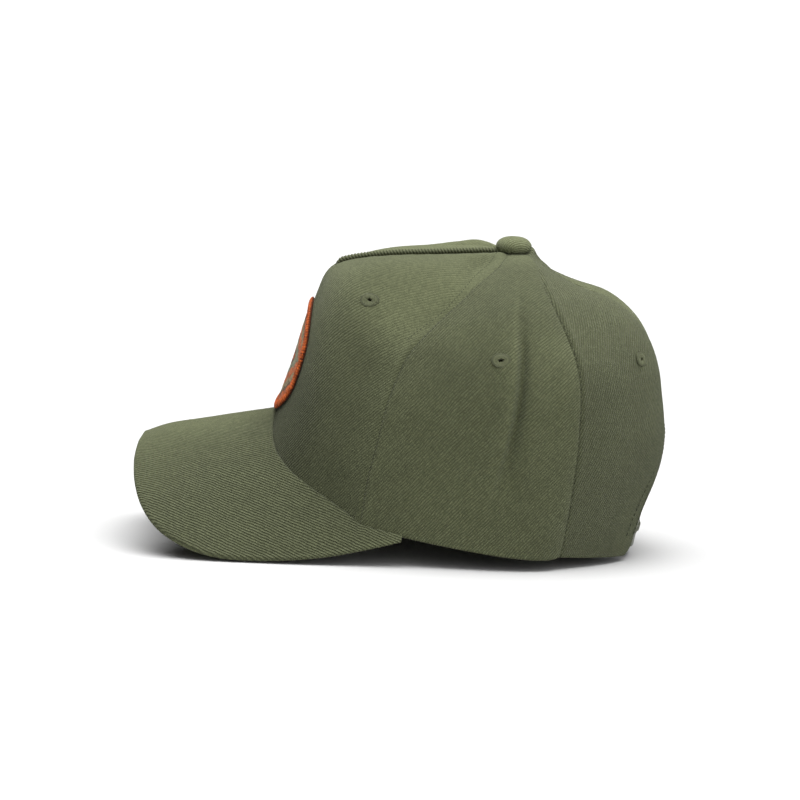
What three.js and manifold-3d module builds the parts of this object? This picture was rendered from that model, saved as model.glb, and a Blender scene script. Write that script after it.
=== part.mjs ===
// Structured high-crown snapback cap, standing on its peak edges and its rear rim.
// Millimetres. +Z is up, the peak points to -Y, and the wearer's left is +X.
import * as THREE from "three";
import Module from "manifold-3d";
import { mergeVertices } from "three/addons/utils/BufferGeometryUtils.js";

const wasm = await Module();
wasm.setup();

// Driving dimensions
const WALL = 1.9; // front, side and back panels: twill with its backing
const SEAM_GAP = 0.15; // each panel stops this far from the seam line
const MERGE = 1e-3;

const BUTTON = { y: 56, under: 151.6, top: 159.5, radius: 9.3, stem: 3.6, washer: 7.5, washerZ: 147.2 };
const EYELET = { outer: 4.9, hole: 1.7, barrel: 2.6, height: 1.3, lift: 0.35, clearance: 0.35, segments: 14 };
const DART = { width: 4.2, thickness: 1.1, lift: 0.3, from: 0.035, to: 0.515, steps: 22 };
const PEAK = { thickness: 3.2, tipThickness: 1.8, gap: 1.0, cornerGap: 1.25, seamAt: 0.976, cornerAt: 0.988, endsAt: 1.13, columns: 15, rows: 8 };
const ARCH = { halfWidth: 31, springZ: 10, topZ: 64, power: 1.7, steps: 16 };
const STRAP = { width: 20, thickness: 1.3, bottomZ: 2.5, inset: 0.45, halfAngle: 34, steps: 20 };
const SNAPS = { pitch: 8.5, radius: 2.6, height: 1.0, count: 7 };
const PATCH = { widestZ: 88, halfWidth: 37, up: 35.8, down: 21.6, powerUp: 2.5, powerDown: 3, border: 4.6, lift: 0.35 };
const PATCH_FACE = { thickness: 1.0, rings: 6, segments: 30 };
const PATCH_BORDER = { thickness: 1.8, sides: 6, segments: 44, gap: 0.3 };

// Lines down the crown from under the button to the lower edge.
// Each row is one station: x out to the wearer's left, y back, z up.
const FRONT_MIDDLE = [
  { x: 0, y: 51.0, z: 150.6 },
  { x: 0, y: 44.0, z: 151.0 },
  { x: 0, y: 18.0, z: 149.6 },
  { x: 0, y: -8.0, z: 147.9 },
  { x: 0, y: -24.0, z: 145.6 },
  { x: 0, y: -32.5, z: 143.4 },
  { x: 0, y: -38.0, z: 140.4 },
  { x: 0, y: -41.4, z: 135.8 },
  { x: 0, y: -43.8, z: 129.5 },
  { x: 0, y: -49.0, z: 114.0 },
  { x: 0, y: -54.6, z: 93.5 },
  { x: 0, y: -59.6, z: 78.0 },
  { x: 0, y: -65.0, z: 62.0 },
];
const FRONT_INNER = [
  { x: 1.7, y: 51.3, z: 150.7 },
  { x: 6, y: 45.0, z: 151.7 },
  { x: 15, y: 33.5, z: 152.5 },
  { x: 21.5, y: 11.0, z: 151.6 },
  { x: 25, y: -8.0, z: 149.5 },
  { x: 27, y: -22.0, z: 145.6 },
  { x: 28.5, y: -32.0, z: 139.8 },
  { x: 29.5, y: -39.0, z: 131.0 },
  { x: 30.5, y: -44.5, z: 119.0 },
  { x: 31.8, y: -49.2, z: 100.0 },
  { x: 33, y: -55.0, z: 80.0 },
  { x: 34.3, y: -65.4, z: 54.0 },
];
const FRONT_OUTER = [
  { x: 3.2, y: 52.3, z: 150.7 },
  { x: 9.5, y: 47.5, z: 151.8 },
  { x: 23, y: 38.5, z: 150.8 },
  { x: 37, y: 22.5, z: 145.0 },
  { x: 45, y: 3.5, z: 137.3 },
  { x: 49.5, y: -14.0, z: 128.5 },
  { x: 52.5, y: -25.0, z: 117.0 },
  { x: 54.5, y: -33.0, z: 102.0 },
  { x: 56, y: -40.0, z: 84.0 },
  { x: 57, y: -46.0, z: 64.0 },
  { x: 57.8, y: -52.2, z: 36.3 },
];
const FRONT_SEAM = [
  { x: 4.4, y: 53.9, z: 150.6 },
  { x: 9, y: 52.4, z: 149.9 },
  { x: 24, y: 47.1, z: 144.6 },
  { x: 37, y: 37.6, z: 137.7 },
  { x: 46, y: 29.4, z: 129.9 },
  { x: 55, y: 16.9, z: 118.2 },
  { x: 60.5, y: 8.0, z: 109.2 },
  { x: 64.2, y: 2.1, z: 100.6 },
  { x: 68, y: -3.2, z: 88.3 },
  { x: 70.8, y: -7.0, z: 76.4 },
  { x: 73, y: -11.5, z: 56.0 },
  { x: 74, y: -15.0, z: 40.4 },
  { x: 73.8, y: -18.2, z: 16.5 },
];
const SIDE_MIDDLE = [
  { x: 5, y: 56.0, z: 150.7 },
  { x: 10, y: 56.5, z: 150.3 },
  { x: 25, y: 57.5, z: 146.4 },
  { x: 39, y: 58.2, z: 139.7 },
  { x: 50.5, y: 58.4, z: 131.8 },
  { x: 62, y: 57.9, z: 120.3 },
  { x: 70.5, y: 58.0, z: 103.7 },
  { x: 76, y: 56.4, z: 83.8 },
  { x: 78.5, y: 54.5, z: 68.5 },
  { x: 80, y: 52.8, z: 51.7 },
  { x: 80.8, y: 52.0, z: 34.8 },
  { x: 80.6, y: 51.8, z: 5.2 },
];
const BACK_SEAM = [
  { x: 4.4, y: 58.4, z: 150.7 },
  { x: 9, y: 62.5, z: 150.4 },
  { x: 17, y: 66.0, z: 148.2 },
  { x: 28, y: 68.5, z: 143.4 },
  { x: 40, y: 71.0, z: 136.2 },
  { x: 51, y: 77.3, z: 124.4 },
  { x: 59, y: 84.3, z: 110.2 },
  { x: 64, y: 88.4, z: 98.3 },
  { x: 67.2, y: 90.0, z: 83.7 },
  { x: 69.3, y: 89.5, z: 58.2 },
  { x: 70, y: 88.1, z: 42.6 },
  { x: 70, y: 85.8, z: 25.2 },
  { x: 69.5, y: 83.0, z: 4.0 },
];
const BACK_MIDDLE = [
  { x: 3, y: 60.0, z: 150.7 },
  { x: 5, y: 65.0, z: 150.3 },
  { x: 12.5, y: 75.0, z: 143.0 },
  { x: 22, y: 87.5, z: 136.6 },
  { x: 30, y: 102.0, z: 128.6 },
  { x: 36, y: 113.5, z: 114.5 },
  { x: 38.5, y: 120.3, z: 97.5 },
  { x: 40, y: 123.5, z: 80.0 },
  { x: 40.8, y: 125.3, z: 62.0 },
  { x: 40.3, y: 123.3, z: 42.0 },
  { x: 39.5, y: 119.5, z: 22.0 },
  { x: 37.8, y: 115.2, z: 0.5 },
];
const BACK_CENTRE = [
  { x: 0, y: 61.0, z: 150.7 },
  { x: 0, y: 67.0, z: 151.6 },
  { x: 0, y: 71.7, z: 148.0 },
  { x: 0, y: 77.0, z: 141.7 },
  { x: 0, y: 86.0, z: 137.3 },
  { x: 0, y: 98.6, z: 133.0 },
  { x: 0, y: 111.6, z: 126.0 },
  { x: 0, y: 122.0, z: 116.0 },
  { x: 0, y: 128.6, z: 103.0 },
  { x: 0, y: 132.0, z: 88.0 },
  { x: 0, y: 134.6, z: 72.0 },
  { x: 0, y: 135.9, z: 60.0 },
  { x: 0, y: 135.0, z: 45.0 },
  { x: 0, y: 130.9, z: 28.0 },
  { x: 0, y: 127.6, z: 14.0 },
  { x: 0, y: 125.4, z: 0.8 },
];
// Outer edge of the peak from the middle of the nose to the corner by the seam.
const PEAK_EDGE = [
  { x: 0, y: -133.4, z: 52.0 },
  { x: 18, y: -134.4, z: 49.6 },
  { x: 35, y: -134.6, z: 42.8 },
  { x: 50, y: -132.6, z: 33.4 },
  { x: 62, y: -128.0, z: 23.4 },
  { x: 71, y: -119.6, z: 13.8 },
  { x: 76.5, y: -107.0, z: 6.2 },
  { x: 79.5, y: -90.0, z: 0.9 },
  { x: 80.5, y: -66.0, z: -0.5 },
  { x: 80.5, y: -38.0, z: 1.4 },
  { x: 80.2, y: -14.0, z: 6.3 },
  { x: 80.8, y: 3.0, z: 11.0 },
];
// Places of the eyelets: u is the position round the crown, t the way down from the button.
const EYELETS = [
  { name: "front", u: 0.65, t: 0.4775 },
  { name: "side", u: 1.4, t: 0.475 },
  { name: "back", u: 2.52, t: 0.465 },
];

// Materials
const TWILL = "#666b4c";
const ORANGE = "#b4552a";
const cloth = (color, name) => new THREE.MeshStandardMaterial({ color, roughness: 0.9, metalness: 0, name });

// Smooth curve through a table of stations, read by its share of length
function line(rows) {
  const points = rows.map((row) => new THREE.Vector3(row.x, row.y, row.z));
  const curve = new THREE.CatmullRomCurve3(points, false, "centripetal");
  curve.arcLengthDivisions = 240;
  return (share) => curve.getPointAt(THREE.MathUtils.clamp(share, 0, 1));
}

const lines = {
  frontMiddle: line(FRONT_MIDDLE),
  frontInner: line(FRONT_INNER),
  frontOuter: line(FRONT_OUTER),
  frontSeam: line(FRONT_SEAM),
  sideMiddle: line(SIDE_MIDDLE),
  backSeam: line(BACK_SEAM),
  backMiddle: line(BACK_MIDDLE),
  backCentre: line(BACK_CENTRE),
};

// Weights of a polynomial that passes through the given knots
function weights(knots, at) {
  return knots.map((own, i) =>
    knots.reduce((product, other, j) => (i === j ? product : (product * (at - other)) / (own - other)), 1),
  );
}

function mix(points, shares) {
  const sum = new THREE.Vector3();
  points.forEach((point, i) => sum.addScaledVector(point, shares[i]));
  return sum;
}

// Front panel: even across the middle, so that the face has no crease there
function frontBase(u, t) {
  const points = [lines.frontMiddle(t), lines.frontInner(t), lines.frontOuter(t), lines.frontSeam(t)];
  const knots = [0, 1 / 3, 2 / 3, 1];
  const squares = knots.map((knot) => knot * knot);
  const point = mix(points, weights(squares, u * u));
  const slopes = points.slice(1).map((p, i) => p.x / knots[i + 1]);
  const share = weights(squares.slice(1), u * u);
  point.x = u * slopes.reduce((sum, slope, i) => sum + slope * share[i], 0);
  return point;
}

function sideBase(u, t) {
  return mix([lines.frontSeam(t), lines.sideMiddle(t), lines.backSeam(t)], weights([1, 1.5, 2], u));
}

function backBase(u, t) {
  return mix([lines.backSeam(t), lines.backMiddle(t), lines.backCentre(t)], weights([2, 2.5, 3], u));
}

const bell = (value, middle, width) => Math.exp(-(((value - middle) / width) ** 2));
const ramp = (value, from, to) => THREE.MathUtils.smoothstep(value, from, to);

// Soft swelling and folds of each panel, outward along its normal
function swell(u, t) {
  if (u <= 1) return 0.8 * bell(Math.abs(u), 0.8, 0.2) * (1 - Math.abs(u)) * ramp(t, 0.1, 0.4);
  if (u <= 2) {
    const drop = ramp(t, 0.22, 0.4) * (1 - ramp(t, 0.72, 0.95));
    return drop * (1.3 * bell(u, 1.4, 0.1) - 1.5 * bell(u, 1.53, 0.05));
  }
  const across = Math.sin(Math.PI * (u - 2) ** 2) ** 2;
  return 3.4 * across * ramp(t, 0.16, 0.34) * (1 - 0.6 * ramp(t, 0.5, 0.9));
}

// Normal of a panel, taken inside its own limits in u and t
function normalAt(surface, u, t, limits) {
  const du = 0.004;
  const dt = 0.004;
  const u0 = Math.max(u - du, limits[0]);
  const u1 = Math.min(u + du, limits[1]);
  const t0 = Math.max(t - dt, 0);
  const t1 = Math.min(t + dt, 1);
  const across = surface(u1, t).sub(surface(u0, t));
  const down = surface(u, t1).sub(surface(u, t0));
  return down.cross(across).normalize();
}

const limitsOf = (u) => (u <= 1 ? [-1, 1] : u <= 2 ? [1, 2] : [2, 3]);

// Outer face of the crown and its outward normal at u, t
function crown(u, t, limits = limitsOf(u)) {
  const surface = limits[0] === 1 ? sideBase : limits[0] === 2 ? backBase : frontBase;
  const normal = normalAt(surface, u, t, limits);
  return { point: surface(u, t).addScaledVector(normal, swell(u, t)), normal };
}

// Closed solid from an outer and an inner grid of points
function gridSolid(outer, inner) {
  const rows = outer.length;
  const columns = outer[0].length;
  const flat = [...outer.flat(), ...inner.flat()];
  const index = [];
  const at = (side, row, column) => side * rows * columns + row * columns + column;
  const quad = (a, b, c, d) => index.push(a, b, c, a, c, d);
  for (let r = 0; r < rows - 1; r += 1) {
    for (let c = 0; c < columns - 1; c += 1) {
      quad(at(0, r, c), at(0, r + 1, c), at(0, r + 1, c + 1), at(0, r, c + 1));
      quad(at(1, r, c), at(1, r, c + 1), at(1, r + 1, c + 1), at(1, r + 1, c));
    }
  }
  for (let r = 0; r < rows - 1; r += 1) {
    quad(at(0, r, 0), at(1, r, 0), at(1, r + 1, 0), at(0, r + 1, 0));
    quad(at(0, r, columns - 1), at(0, r + 1, columns - 1), at(1, r + 1, columns - 1), at(1, r, columns - 1));
  }
  for (let c = 0; c < columns - 1; c += 1) {
    quad(at(0, 0, c), at(0, 0, c + 1), at(1, 0, c + 1), at(1, 0, c));
    quad(at(0, rows - 1, c), at(1, rows - 1, c), at(1, rows - 1, c + 1), at(0, rows - 1, c + 1));
  }
  return outward(flat, index);
}

// Indexed geometry whose faces point outward
function outward(points, index) {
  let volume = 0;
  for (let i = 0; i < index.length; i += 3) {
    const [a, b, c] = [points[index[i]], points[index[i + 1]], points[index[i + 2]]];
    volume += a.dot(b.clone().cross(c));
  }
  const ordered = volume > 0 ? index : index.toReversed();
  const geometry = new THREE.BufferGeometry();
  geometry.setAttribute("position", new THREE.Float32BufferAttribute(points.flatMap((p) => p.toArray()), 3));
  geometry.setIndex(ordered);
  return geometry;
}

function toManifold(geometry) {
  const clean = geometry.clone();
  clean.deleteAttribute("normal");
  clean.deleteAttribute("uv");
  const merged = mergeVertices(clean, MERGE);
  return new wasm.Manifold(new wasm.Mesh({
    numProp: 3,
    vertProperties: new Float32Array(merged.getAttribute("position").array),
    triVerts: new Uint32Array(merged.getIndex().array),
  }));
}

function fromManifold(solid) {
  const mesh = solid.getMesh();
  const geometry = new THREE.BufferGeometry();
  geometry.setAttribute("position", new THREE.Float32BufferAttribute(mesh.vertProperties, 3));
  geometry.setIndex(new THREE.Uint32BufferAttribute(mesh.triVerts, 1));
  return geometry;
}

const spread = (from, to, steps) => Array.from({ length: steps + 1 }, (_, i) => from + ((to - from) * i) / steps);

// Station positions down a panel, closer together over the turn at the top of the front
const DOWN = [0, 0.04, 0.09, 0.16, 0.24, 0.32, 0.4, 0.455, 0.5, 0.54, 0.58, 0.64, 0.72, 0.8, 0.88, 0.95, 1];

// One panel of the crown between two seams, as a shell WALL thick
function panel(limits, columns) {
  const outer = [];
  const inner = [];
  for (const t of DOWN) {
    const outerRow = [];
    const innerRow = [];
    columns.forEach((u, i) => {
      const { point } = crown(u, t, limits);
      const normal = seamNormal(u, t, limits);
      const shift = seamShift(limits, u, t, i, columns.length);
      outerRow.push(point.clone().add(shift));
      innerRow.push(point.clone().add(shift).addScaledVector(normal, -WALL));
    });
    outer.push(outerRow);
    inner.push(innerRow);
  }
  return gridSolid(outer, inner);
}

// Normal of the wall; along a seam it is shared by the two panels, so that their edges stay parallel
function seamNormal(u, t, limits) {
  const { normal } = crown(u, t, limits);
  if (u === 3) normal.x = 0;
  if (Math.abs(u) === 1 || u === 2) {
    const [before, after] = Math.abs(u) === 1 ? [[-1, 1], [1, 2]] : [[1, 2], [2, 3]];
    const seam = Math.abs(u);
    normal.copy(crown(seam, t, before).normal).add(crown(seam, t, after).normal);
    if (u < 0) normal.x *= -1;
  }
  return normal.normalize();
}

// Small step back from the seam line for the first and last column
function seamShift(limits, u, t, i, count) {
  if (i > 0 && i < count - 1) return new THREE.Vector3();
  const towards = i === 0 ? Math.min(u + 0.05, limits[1]) : Math.max(u - 0.05, limits[0]);
  const here = crown(u, t, limits).point;
  const next = crown(towards, t, limits).point;
  return next.sub(here).setLength(SEAM_GAP);
}

const mirrorX = (geometry) => {
  const copy = geometry.clone();
  copy.scale(-1, 1, 1);
  const index = copy.getIndex();
  copy.setIndex(Array.from(index.array).toReversed());
  return copy;
};

// Round hole through the wall at an eyelet
function eyeletHole(u, t) {
  const { point, normal } = crown(u, t);
  const hole = new THREE.CylinderGeometry(EYELET.barrel + EYELET.clearance, EYELET.barrel + EYELET.clearance, 12, EYELET.segments);
  hole.applyQuaternion(new THREE.Quaternion().setFromUnitVectors(new THREE.Vector3(0, 1, 0), normal));
  hole.translate(point.x, point.y, point.z);
  return toManifold(hole);
}

// Stitched eyelet: a flat ring on the cloth with a short barrel through the wall
function eyelet(u, t) {
  const { point, normal } = crown(u, t);
  const e = EYELET;
  const profile = [
    [e.hole, -1.5], [e.barrel, -1.5], [e.barrel, 0], [e.outer, 0], [e.outer, e.height * 0.55],
    [e.outer - 1.1, e.height], [e.hole + 0.7, e.height], [e.hole, e.height * 0.5], [e.hole, -1.5],
  ].map(([radius, height]) => new THREE.Vector2(radius, height));
  const ring = new THREE.LatheGeometry(profile, e.segments);
  ring.applyQuaternion(new THREE.Quaternion().setFromUnitVectors(new THREE.Vector3(0, 1, 0), normal));
  const foot = point.clone().addScaledVector(normal, e.lift);
  ring.translate(foot.x, foot.y, foot.z);
  return ring;
}

// Arched opening in the middle of the back
function archCutter() {
  const outline = [[-ARCH.halfWidth, -20], [ARCH.halfWidth, -20]];
  for (let i = 0; i <= ARCH.steps; i += 1) {
    const angle = (Math.PI * i) / ARCH.steps;
    const c = Math.cos(angle);
    const x = ARCH.halfWidth * Math.sign(c) * Math.abs(c) ** (2 / ARCH.power);
    outline.push([x, ARCH.springZ + (ARCH.topZ - ARCH.springZ) * Math.sin(angle) ** (2 / ARCH.power)]);
  }
  const block = new wasm.CrossSection([outline]).extrude(100);
  return block.rotate([90, 0, 0]).translate([0, 190, 0]);
}

const withHoles = (geometry, cutters) => {
  let solid = toManifold(geometry);
  for (const cutter of cutters) solid = solid.subtract(cutter);
  return fromManifold(solid);
};

// Covered button: a dome with a turned-in edge, a stem through the crown and a washer below it
function button() {
  const b = BUTTON;
  const rise = b.top - b.under;
  const profile = [[0, b.washerZ - 1.2], [b.washer, b.washerZ - 1.2], [b.washer, b.washerZ], [b.stem, b.washerZ]];
  profile.push([b.stem, b.under], [b.radius - 1.2, b.under], [b.radius, b.under + rise * 0.22]);
  for (let i = 1; i <= 6; i += 1) {
    const angle = (Math.PI / 2) * (i / 6);
    profile.push([b.radius * Math.cos(angle), b.under + rise * (0.22 + 0.78 * Math.sin(angle))]);
  }
  profile[profile.length - 1][0] = 0;
  const lathe = new THREE.LatheGeometry(profile.map(([r, z]) => new THREE.Vector2(r, z)), 22);
  lathe.rotateX(Math.PI / 2);
  lathe.translate(0, b.y, 0);
  return lathe;
}

// Raised seam along the top of the front panel, from the front corner to the button
function dartSeam() {
  const outer = [];
  const inner = [];
  for (const t of spread(DART.from, DART.to, DART.steps)) {
    const { point, normal } = crown(0, t);
    const rounding = [-1, -0.5, 0, 0.5, 1];
    const foot = point.clone().addScaledVector(normal, DART.lift);
    outer.push(rounding.map((s) => foot.clone()
      .add(new THREE.Vector3((s * DART.width) / 2, 0, 0))
      .addScaledVector(normal, DART.thickness * (1 - 0.55 * s * s))));
    inner.push(rounding.map((s) => foot.clone().add(new THREE.Vector3((s * DART.width) / 2, 0, 0))));
  }
  return gridSolid(outer, inner);
}

// Peak: a curved board whose inner edge follows the crown and whose sides drop to the table
function peak() {
  const edge = line(PEAK_EDGE);
  const outer = [];
  const inner = [];
  const reach = spread(0, 1, PEAK.rows);
  for (const a of spread(-1, 1, PEAK.columns * 2)) {
    const side = Math.sign(a) || 1;
    const u = Math.abs(a) * PEAK.endsAt;
    const nearCorner = ramp(Math.abs(a), 0.6, 1);
    const thickness = THREE.MathUtils.lerp(PEAK.thickness, PEAK.tipThickness, nearCorner);
    const seam = crown(u, THREE.MathUtils.lerp(PEAK.seamAt, PEAK.cornerAt, nearCorner));
    const gap = THREE.MathUtils.lerp(PEAK.gap, PEAK.cornerGap, nearCorner);
    const foot = seam.point.addScaledVector(seam.normal, gap);
    const low = crown(u, 1);
    const lowFoot = low.point.addScaledVector(low.normal, gap);
    const down = lowFoot.sub(foot).normalize();
    const rim = edge(Math.abs(a) ** 0.93);
    const top = reach.map((r) => peakPoint(foot, rim, r));
    const under = top.map((point, i) => {
      const turn = edgeNormal(a).lerp(down, 1 - ramp(reach[i], 0, 0.3)).setLength(thickness);
      return point.clone().add(turn);
    });
    const flip = (point) => point.setX(point.x * side);
    outer.push(top.map((point) => flip(point)));
    inner.push(under.map((point) => flip(point)));
  }
  return gridSolid(outer, inner);
}

// Point of the peak's upper face between the seam and the outer edge, with a slight rise
function peakPoint(foot, rim, reach) {
  const point = foot.clone().lerp(rim, reach);
  point.z += 0.9 * Math.sin(Math.PI * reach);
  return point;
}

// Direction from the upper to the lower face of the peak at its outer edge
function edgeNormal(a) {
  const lean = Math.min(Math.abs(a) * 1.25, 1) * (Math.PI / 2) * 0.9;
  return new THREE.Vector3(-Math.sin(lean), 0, -Math.cos(lean));
}

// Position of a point of the front face given by its x and z
function onFace(x, z) {
  let u = x / 100;
  let t = 0.8;
  for (let i = 0; i < 14; i += 1) {
    const here = crown(u, t).point;
    const byU = crown(u + 0.01, t).point.sub(here).divideScalar(0.01);
    const byT = crown(u, t + 0.01).point.sub(here).divideScalar(0.01);
    const det = byU.x * byT.z - byT.x * byU.z;
    const dx = x - here.x;
    const dz = z - here.z;
    u += (dx * byT.z - byT.x * dz) / det;
    t = Math.min(t + (byU.x * dz - dx * byU.z) / det, 0.97);
  }
  return crown(u, t);
}

// Outline of the badge: a rounded shield, widest below its middle
function patchOutline(angle, inset) {
  const c = Math.cos(angle);
  const s = Math.sin(angle);
  const power = 2 / (s > 0 ? PATCH.powerUp : PATCH.powerDown);
  const reach = (s > 0 ? PATCH.up : PATCH.down) - inset;
  return {
    x: Math.sign(c) * Math.abs(c) ** power * (PATCH.halfWidth - inset),
    z: PATCH.widestZ + Math.sign(s) * Math.abs(s) ** power * reach,
  };
}

function patchFace() {
  const f = PATCH_FACE;
  const points = [];
  const index = [];
  const full = f.rings * f.segments + 1;
  const inset = PATCH.border + PATCH_BORDER.gap;
  for (const height of [PATCH.lift + f.thickness, PATCH.lift]) {
    const middle = onFace(0, PATCH.widestZ);
    points.push(middle.point.addScaledVector(middle.normal, height));
    for (let ring = 1; ring <= f.rings; ring += 1) {
      for (let i = 0; i < f.segments; i += 1) {
        const edge = patchOutline((2 * Math.PI * i) / f.segments, inset);
        const share = ring / f.rings;
        const spot = onFace(edge.x * share, PATCH.widestZ + (edge.z - PATCH.widestZ) * share);
        points.push(spot.point.addScaledVector(spot.normal, height));
      }
    }
  }
  const at = (side, ring, i) => side * full + 1 + (ring - 1) * f.segments + (i % f.segments);
  for (let i = 0; i < f.segments; i += 1) {
    index.push(0, at(0, 1, i), at(0, 1, i + 1));
    index.push(full, at(1, 1, i + 1), at(1, 1, i));
    for (let ring = 1; ring < f.rings; ring += 1) {
      index.push(at(0, ring, i), at(0, ring + 1, i), at(0, ring + 1, i + 1));
      index.push(at(0, ring, i), at(0, ring + 1, i + 1), at(0, ring, i + 1));
      index.push(at(1, ring, i), at(1, ring + 1, i + 1), at(1, ring + 1, i));
      index.push(at(1, ring, i), at(1, ring, i + 1), at(1, ring + 1, i + 1));
    }
    index.push(at(0, f.rings, i), at(1, f.rings, i), at(1, f.rings, i + 1));
    index.push(at(0, f.rings, i), at(1, f.rings, i + 1), at(0, f.rings, i + 1));
  }
  return outward(points, index);
}

// Thick stitched border round the badge
function patchBorder() {
  const b = PATCH_BORDER;
  const points = [];
  const index = [];
  for (let i = 0; i < b.segments; i += 1) {
    const angle = (2 * Math.PI * i) / b.segments;
    for (let j = 0; j < b.sides; j += 1) {
      const turn = (2 * Math.PI * j) / b.sides;
      const edge = patchOutline(angle, PATCH.border * (0.5 - 0.5 * Math.cos(turn)));
      const spot = onFace(edge.x, edge.z);
      const height = PATCH.lift + b.thickness * (0.5 + 0.5 * Math.sin(turn));
      points.push(spot.point.addScaledVector(spot.normal, height));
    }
  }
  const at = (i, j) => (i % b.segments) * b.sides + (j % b.sides);
  for (let i = 0; i < b.segments; i += 1) {
    for (let j = 0; j < b.sides; j += 1) {
      index.push(at(i, j), at(i + 1, j), at(i + 1, j + 1), at(i, j), at(i + 1, j + 1), at(i, j + 1));
    }
  }
  return outward(points, index);
}

// Position inside the back of the crown for the strap, given by x and z
function insideBack(x, z) {
  const side = Math.sign(x) || 1;
  let u = 3 - Math.abs(x) / 80;
  let t = 0.9;
  for (let i = 0; i < 14; i += 1) {
    const here = crown(u, t, [2, 3]).point;
    const byU = crown(Math.max(u - 0.01, 2), t, [2, 3]).point.sub(here).divideScalar(-0.01);
    const byT = crown(u, t - 0.01, [2, 3]).point.sub(here).divideScalar(-0.01);
    const det = byU.x * byT.z - byT.x * byU.z;
    const dx = Math.abs(x) - here.x;
    const dz = z - here.z;
    u = THREE.MathUtils.clamp(u + (dx * byT.z - byT.x * dz) / det, 2.05, 3);
    t = THREE.MathUtils.clamp(t + (byU.x * dz - dx * byU.z) / det, 0.3, 1);
  }
  const spot = crown(u, t, [2, 3]);
  spot.point.x *= side;
  spot.normal.x *= side;
  return spot;
}

// Snap strap across the opening, lapped in the middle, with a row of round snaps
function strap() {
  const outer = [];
  const inner = [];
  for (const h of [0, 0.5, 1]) {
    const z = STRAP.bottomZ + h * STRAP.width;
    const outerRow = [];
    const innerRow = [];
    for (const s of spread(-1, 1, STRAP.steps)) {
      const spot = insideBack(s * (ARCH.halfWidth + 9), z);
      const depth = WALL + STRAP.inset;
      outerRow.push(spot.point.clone().addScaledVector(spot.normal, -depth));
      innerRow.push(spot.point.clone().addScaledVector(spot.normal, -depth - STRAP.thickness));
    }
    outer.push(outerRow);
    inner.push(innerRow);
  }
  let solid = toManifold(gridSolid(outer, inner));
  for (let i = 0; i < SNAPS.count; i += 1) {
    const x = (i - (SNAPS.count - 1) / 2) * SNAPS.pitch;
    const spot = insideBack(x, STRAP.bottomZ + STRAP.width / 2);
    const snap = new THREE.CylinderGeometry(SNAPS.radius * 0.85, SNAPS.radius, SNAPS.height + 0.6, 12);
    snap.applyQuaternion(new THREE.Quaternion().setFromUnitVectors(new THREE.Vector3(0, 1, 0), spot.normal));
    const foot = spot.point.addScaledVector(spot.normal, -WALL - STRAP.inset + (SNAPS.height - 0.6) / 2);
    snap.translate(foot.x, foot.y, foot.z);
    solid = solid.add(toManifold(snap));
  }
  return fromManifold(solid);
}

function addMesh(group, name, geometry, material) {
  const clean = geometry.clone();
  clean.deleteAttribute("normal");
  clean.deleteAttribute("uv");
  const merged = mergeVertices(clean, MERGE);
  merged.computeVertexNormals();
  const mesh = new THREE.Mesh(merged, material);
  mesh.name = name;
  group.add(mesh);
}

function buildCap() {
  const cap = new THREE.Group();
  cap.name = "snapback_cap";
  const arch = archCutter();
  const holes = EYELETS.map(({ u, t }) => eyeletHole(u, t));
  const mirrored = holes.map((hole) => hole.mirror([1, 0, 0]));

  const frontColumns = [-1, -0.92, -0.82, -0.7, -0.56, -0.42, -0.28, -0.15, -0.06, 0];
  const frontAll = [...frontColumns, ...frontColumns.slice(0, -1).map((u) => -u).toReversed()];
  const front = withHoles(panel([-1, 1], frontAll), [holes[0], mirrored[0]]);
  addMesh(cap, "front_panel", front, cloth(TWILL, "twill"));

  const side = withHoles(panel([1, 2], [1, 1.1, 1.2, 1.3, 1.4, 1.47, 1.53, 1.6, 1.72, 1.86, 2]), [holes[1]]);
  addMesh(cap, "side_panel_left", side, cloth(TWILL, "twill"));
  addMesh(cap, "side_panel_right", mirrorX(side), cloth(TWILL, "twill"));

  const back = withHoles(panel([2, 3], spread(2, 3, 10)), [holes[2], arch]);
  addMesh(cap, "back_panel_left", back, cloth(TWILL, "twill"));
  addMesh(cap, "back_panel_right", mirrorX(back), cloth(TWILL, "twill"));

  addMesh(cap, "dart_seam", dartSeam(), cloth(TWILL, "twill"));
  addMesh(cap, "top_button", button(), cloth(TWILL, "twill"));
  addMesh(cap, "peak", peak(), cloth(TWILL, "twill"));
  addMesh(cap, "snap_strap", strap(), cloth(TWILL, "strap_plastic"));
  addMesh(cap, "patch_face", patchFace(), cloth("#7a6142", "patch_thread"));
  addMesh(cap, "patch_border", patchBorder(), cloth(ORANGE, "border_thread"));

  for (const { name, u, t } of EYELETS) {
    const ring = eyelet(u, t);
    addMesh(cap, `eyelet_${name}_left`, ring, cloth(TWILL, "eyelet_thread"));
    addMesh(cap, `eyelet_${name}_right`, mirrorX(mergeVertices(ring, MERGE)), cloth(TWILL, "eyelet_thread"));
  }
  return centred(cap);
}

// Shift every piece so that the base of the bounding box is centred on the origin
function centred(cap) {
  const box = new THREE.Box3().setFromObject(cap);
  const middle = box.getCenter(new THREE.Vector3());
  cap.traverse((node) => {
    if (node.isMesh) node.geometry.translate(-middle.x, -middle.y, -box.min.z);
  });
  return cap;
}

export default buildCap();
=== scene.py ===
import math

import bpy
import numpy as np
from mathutils import Euler, Matrix, Vector, noise


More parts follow.
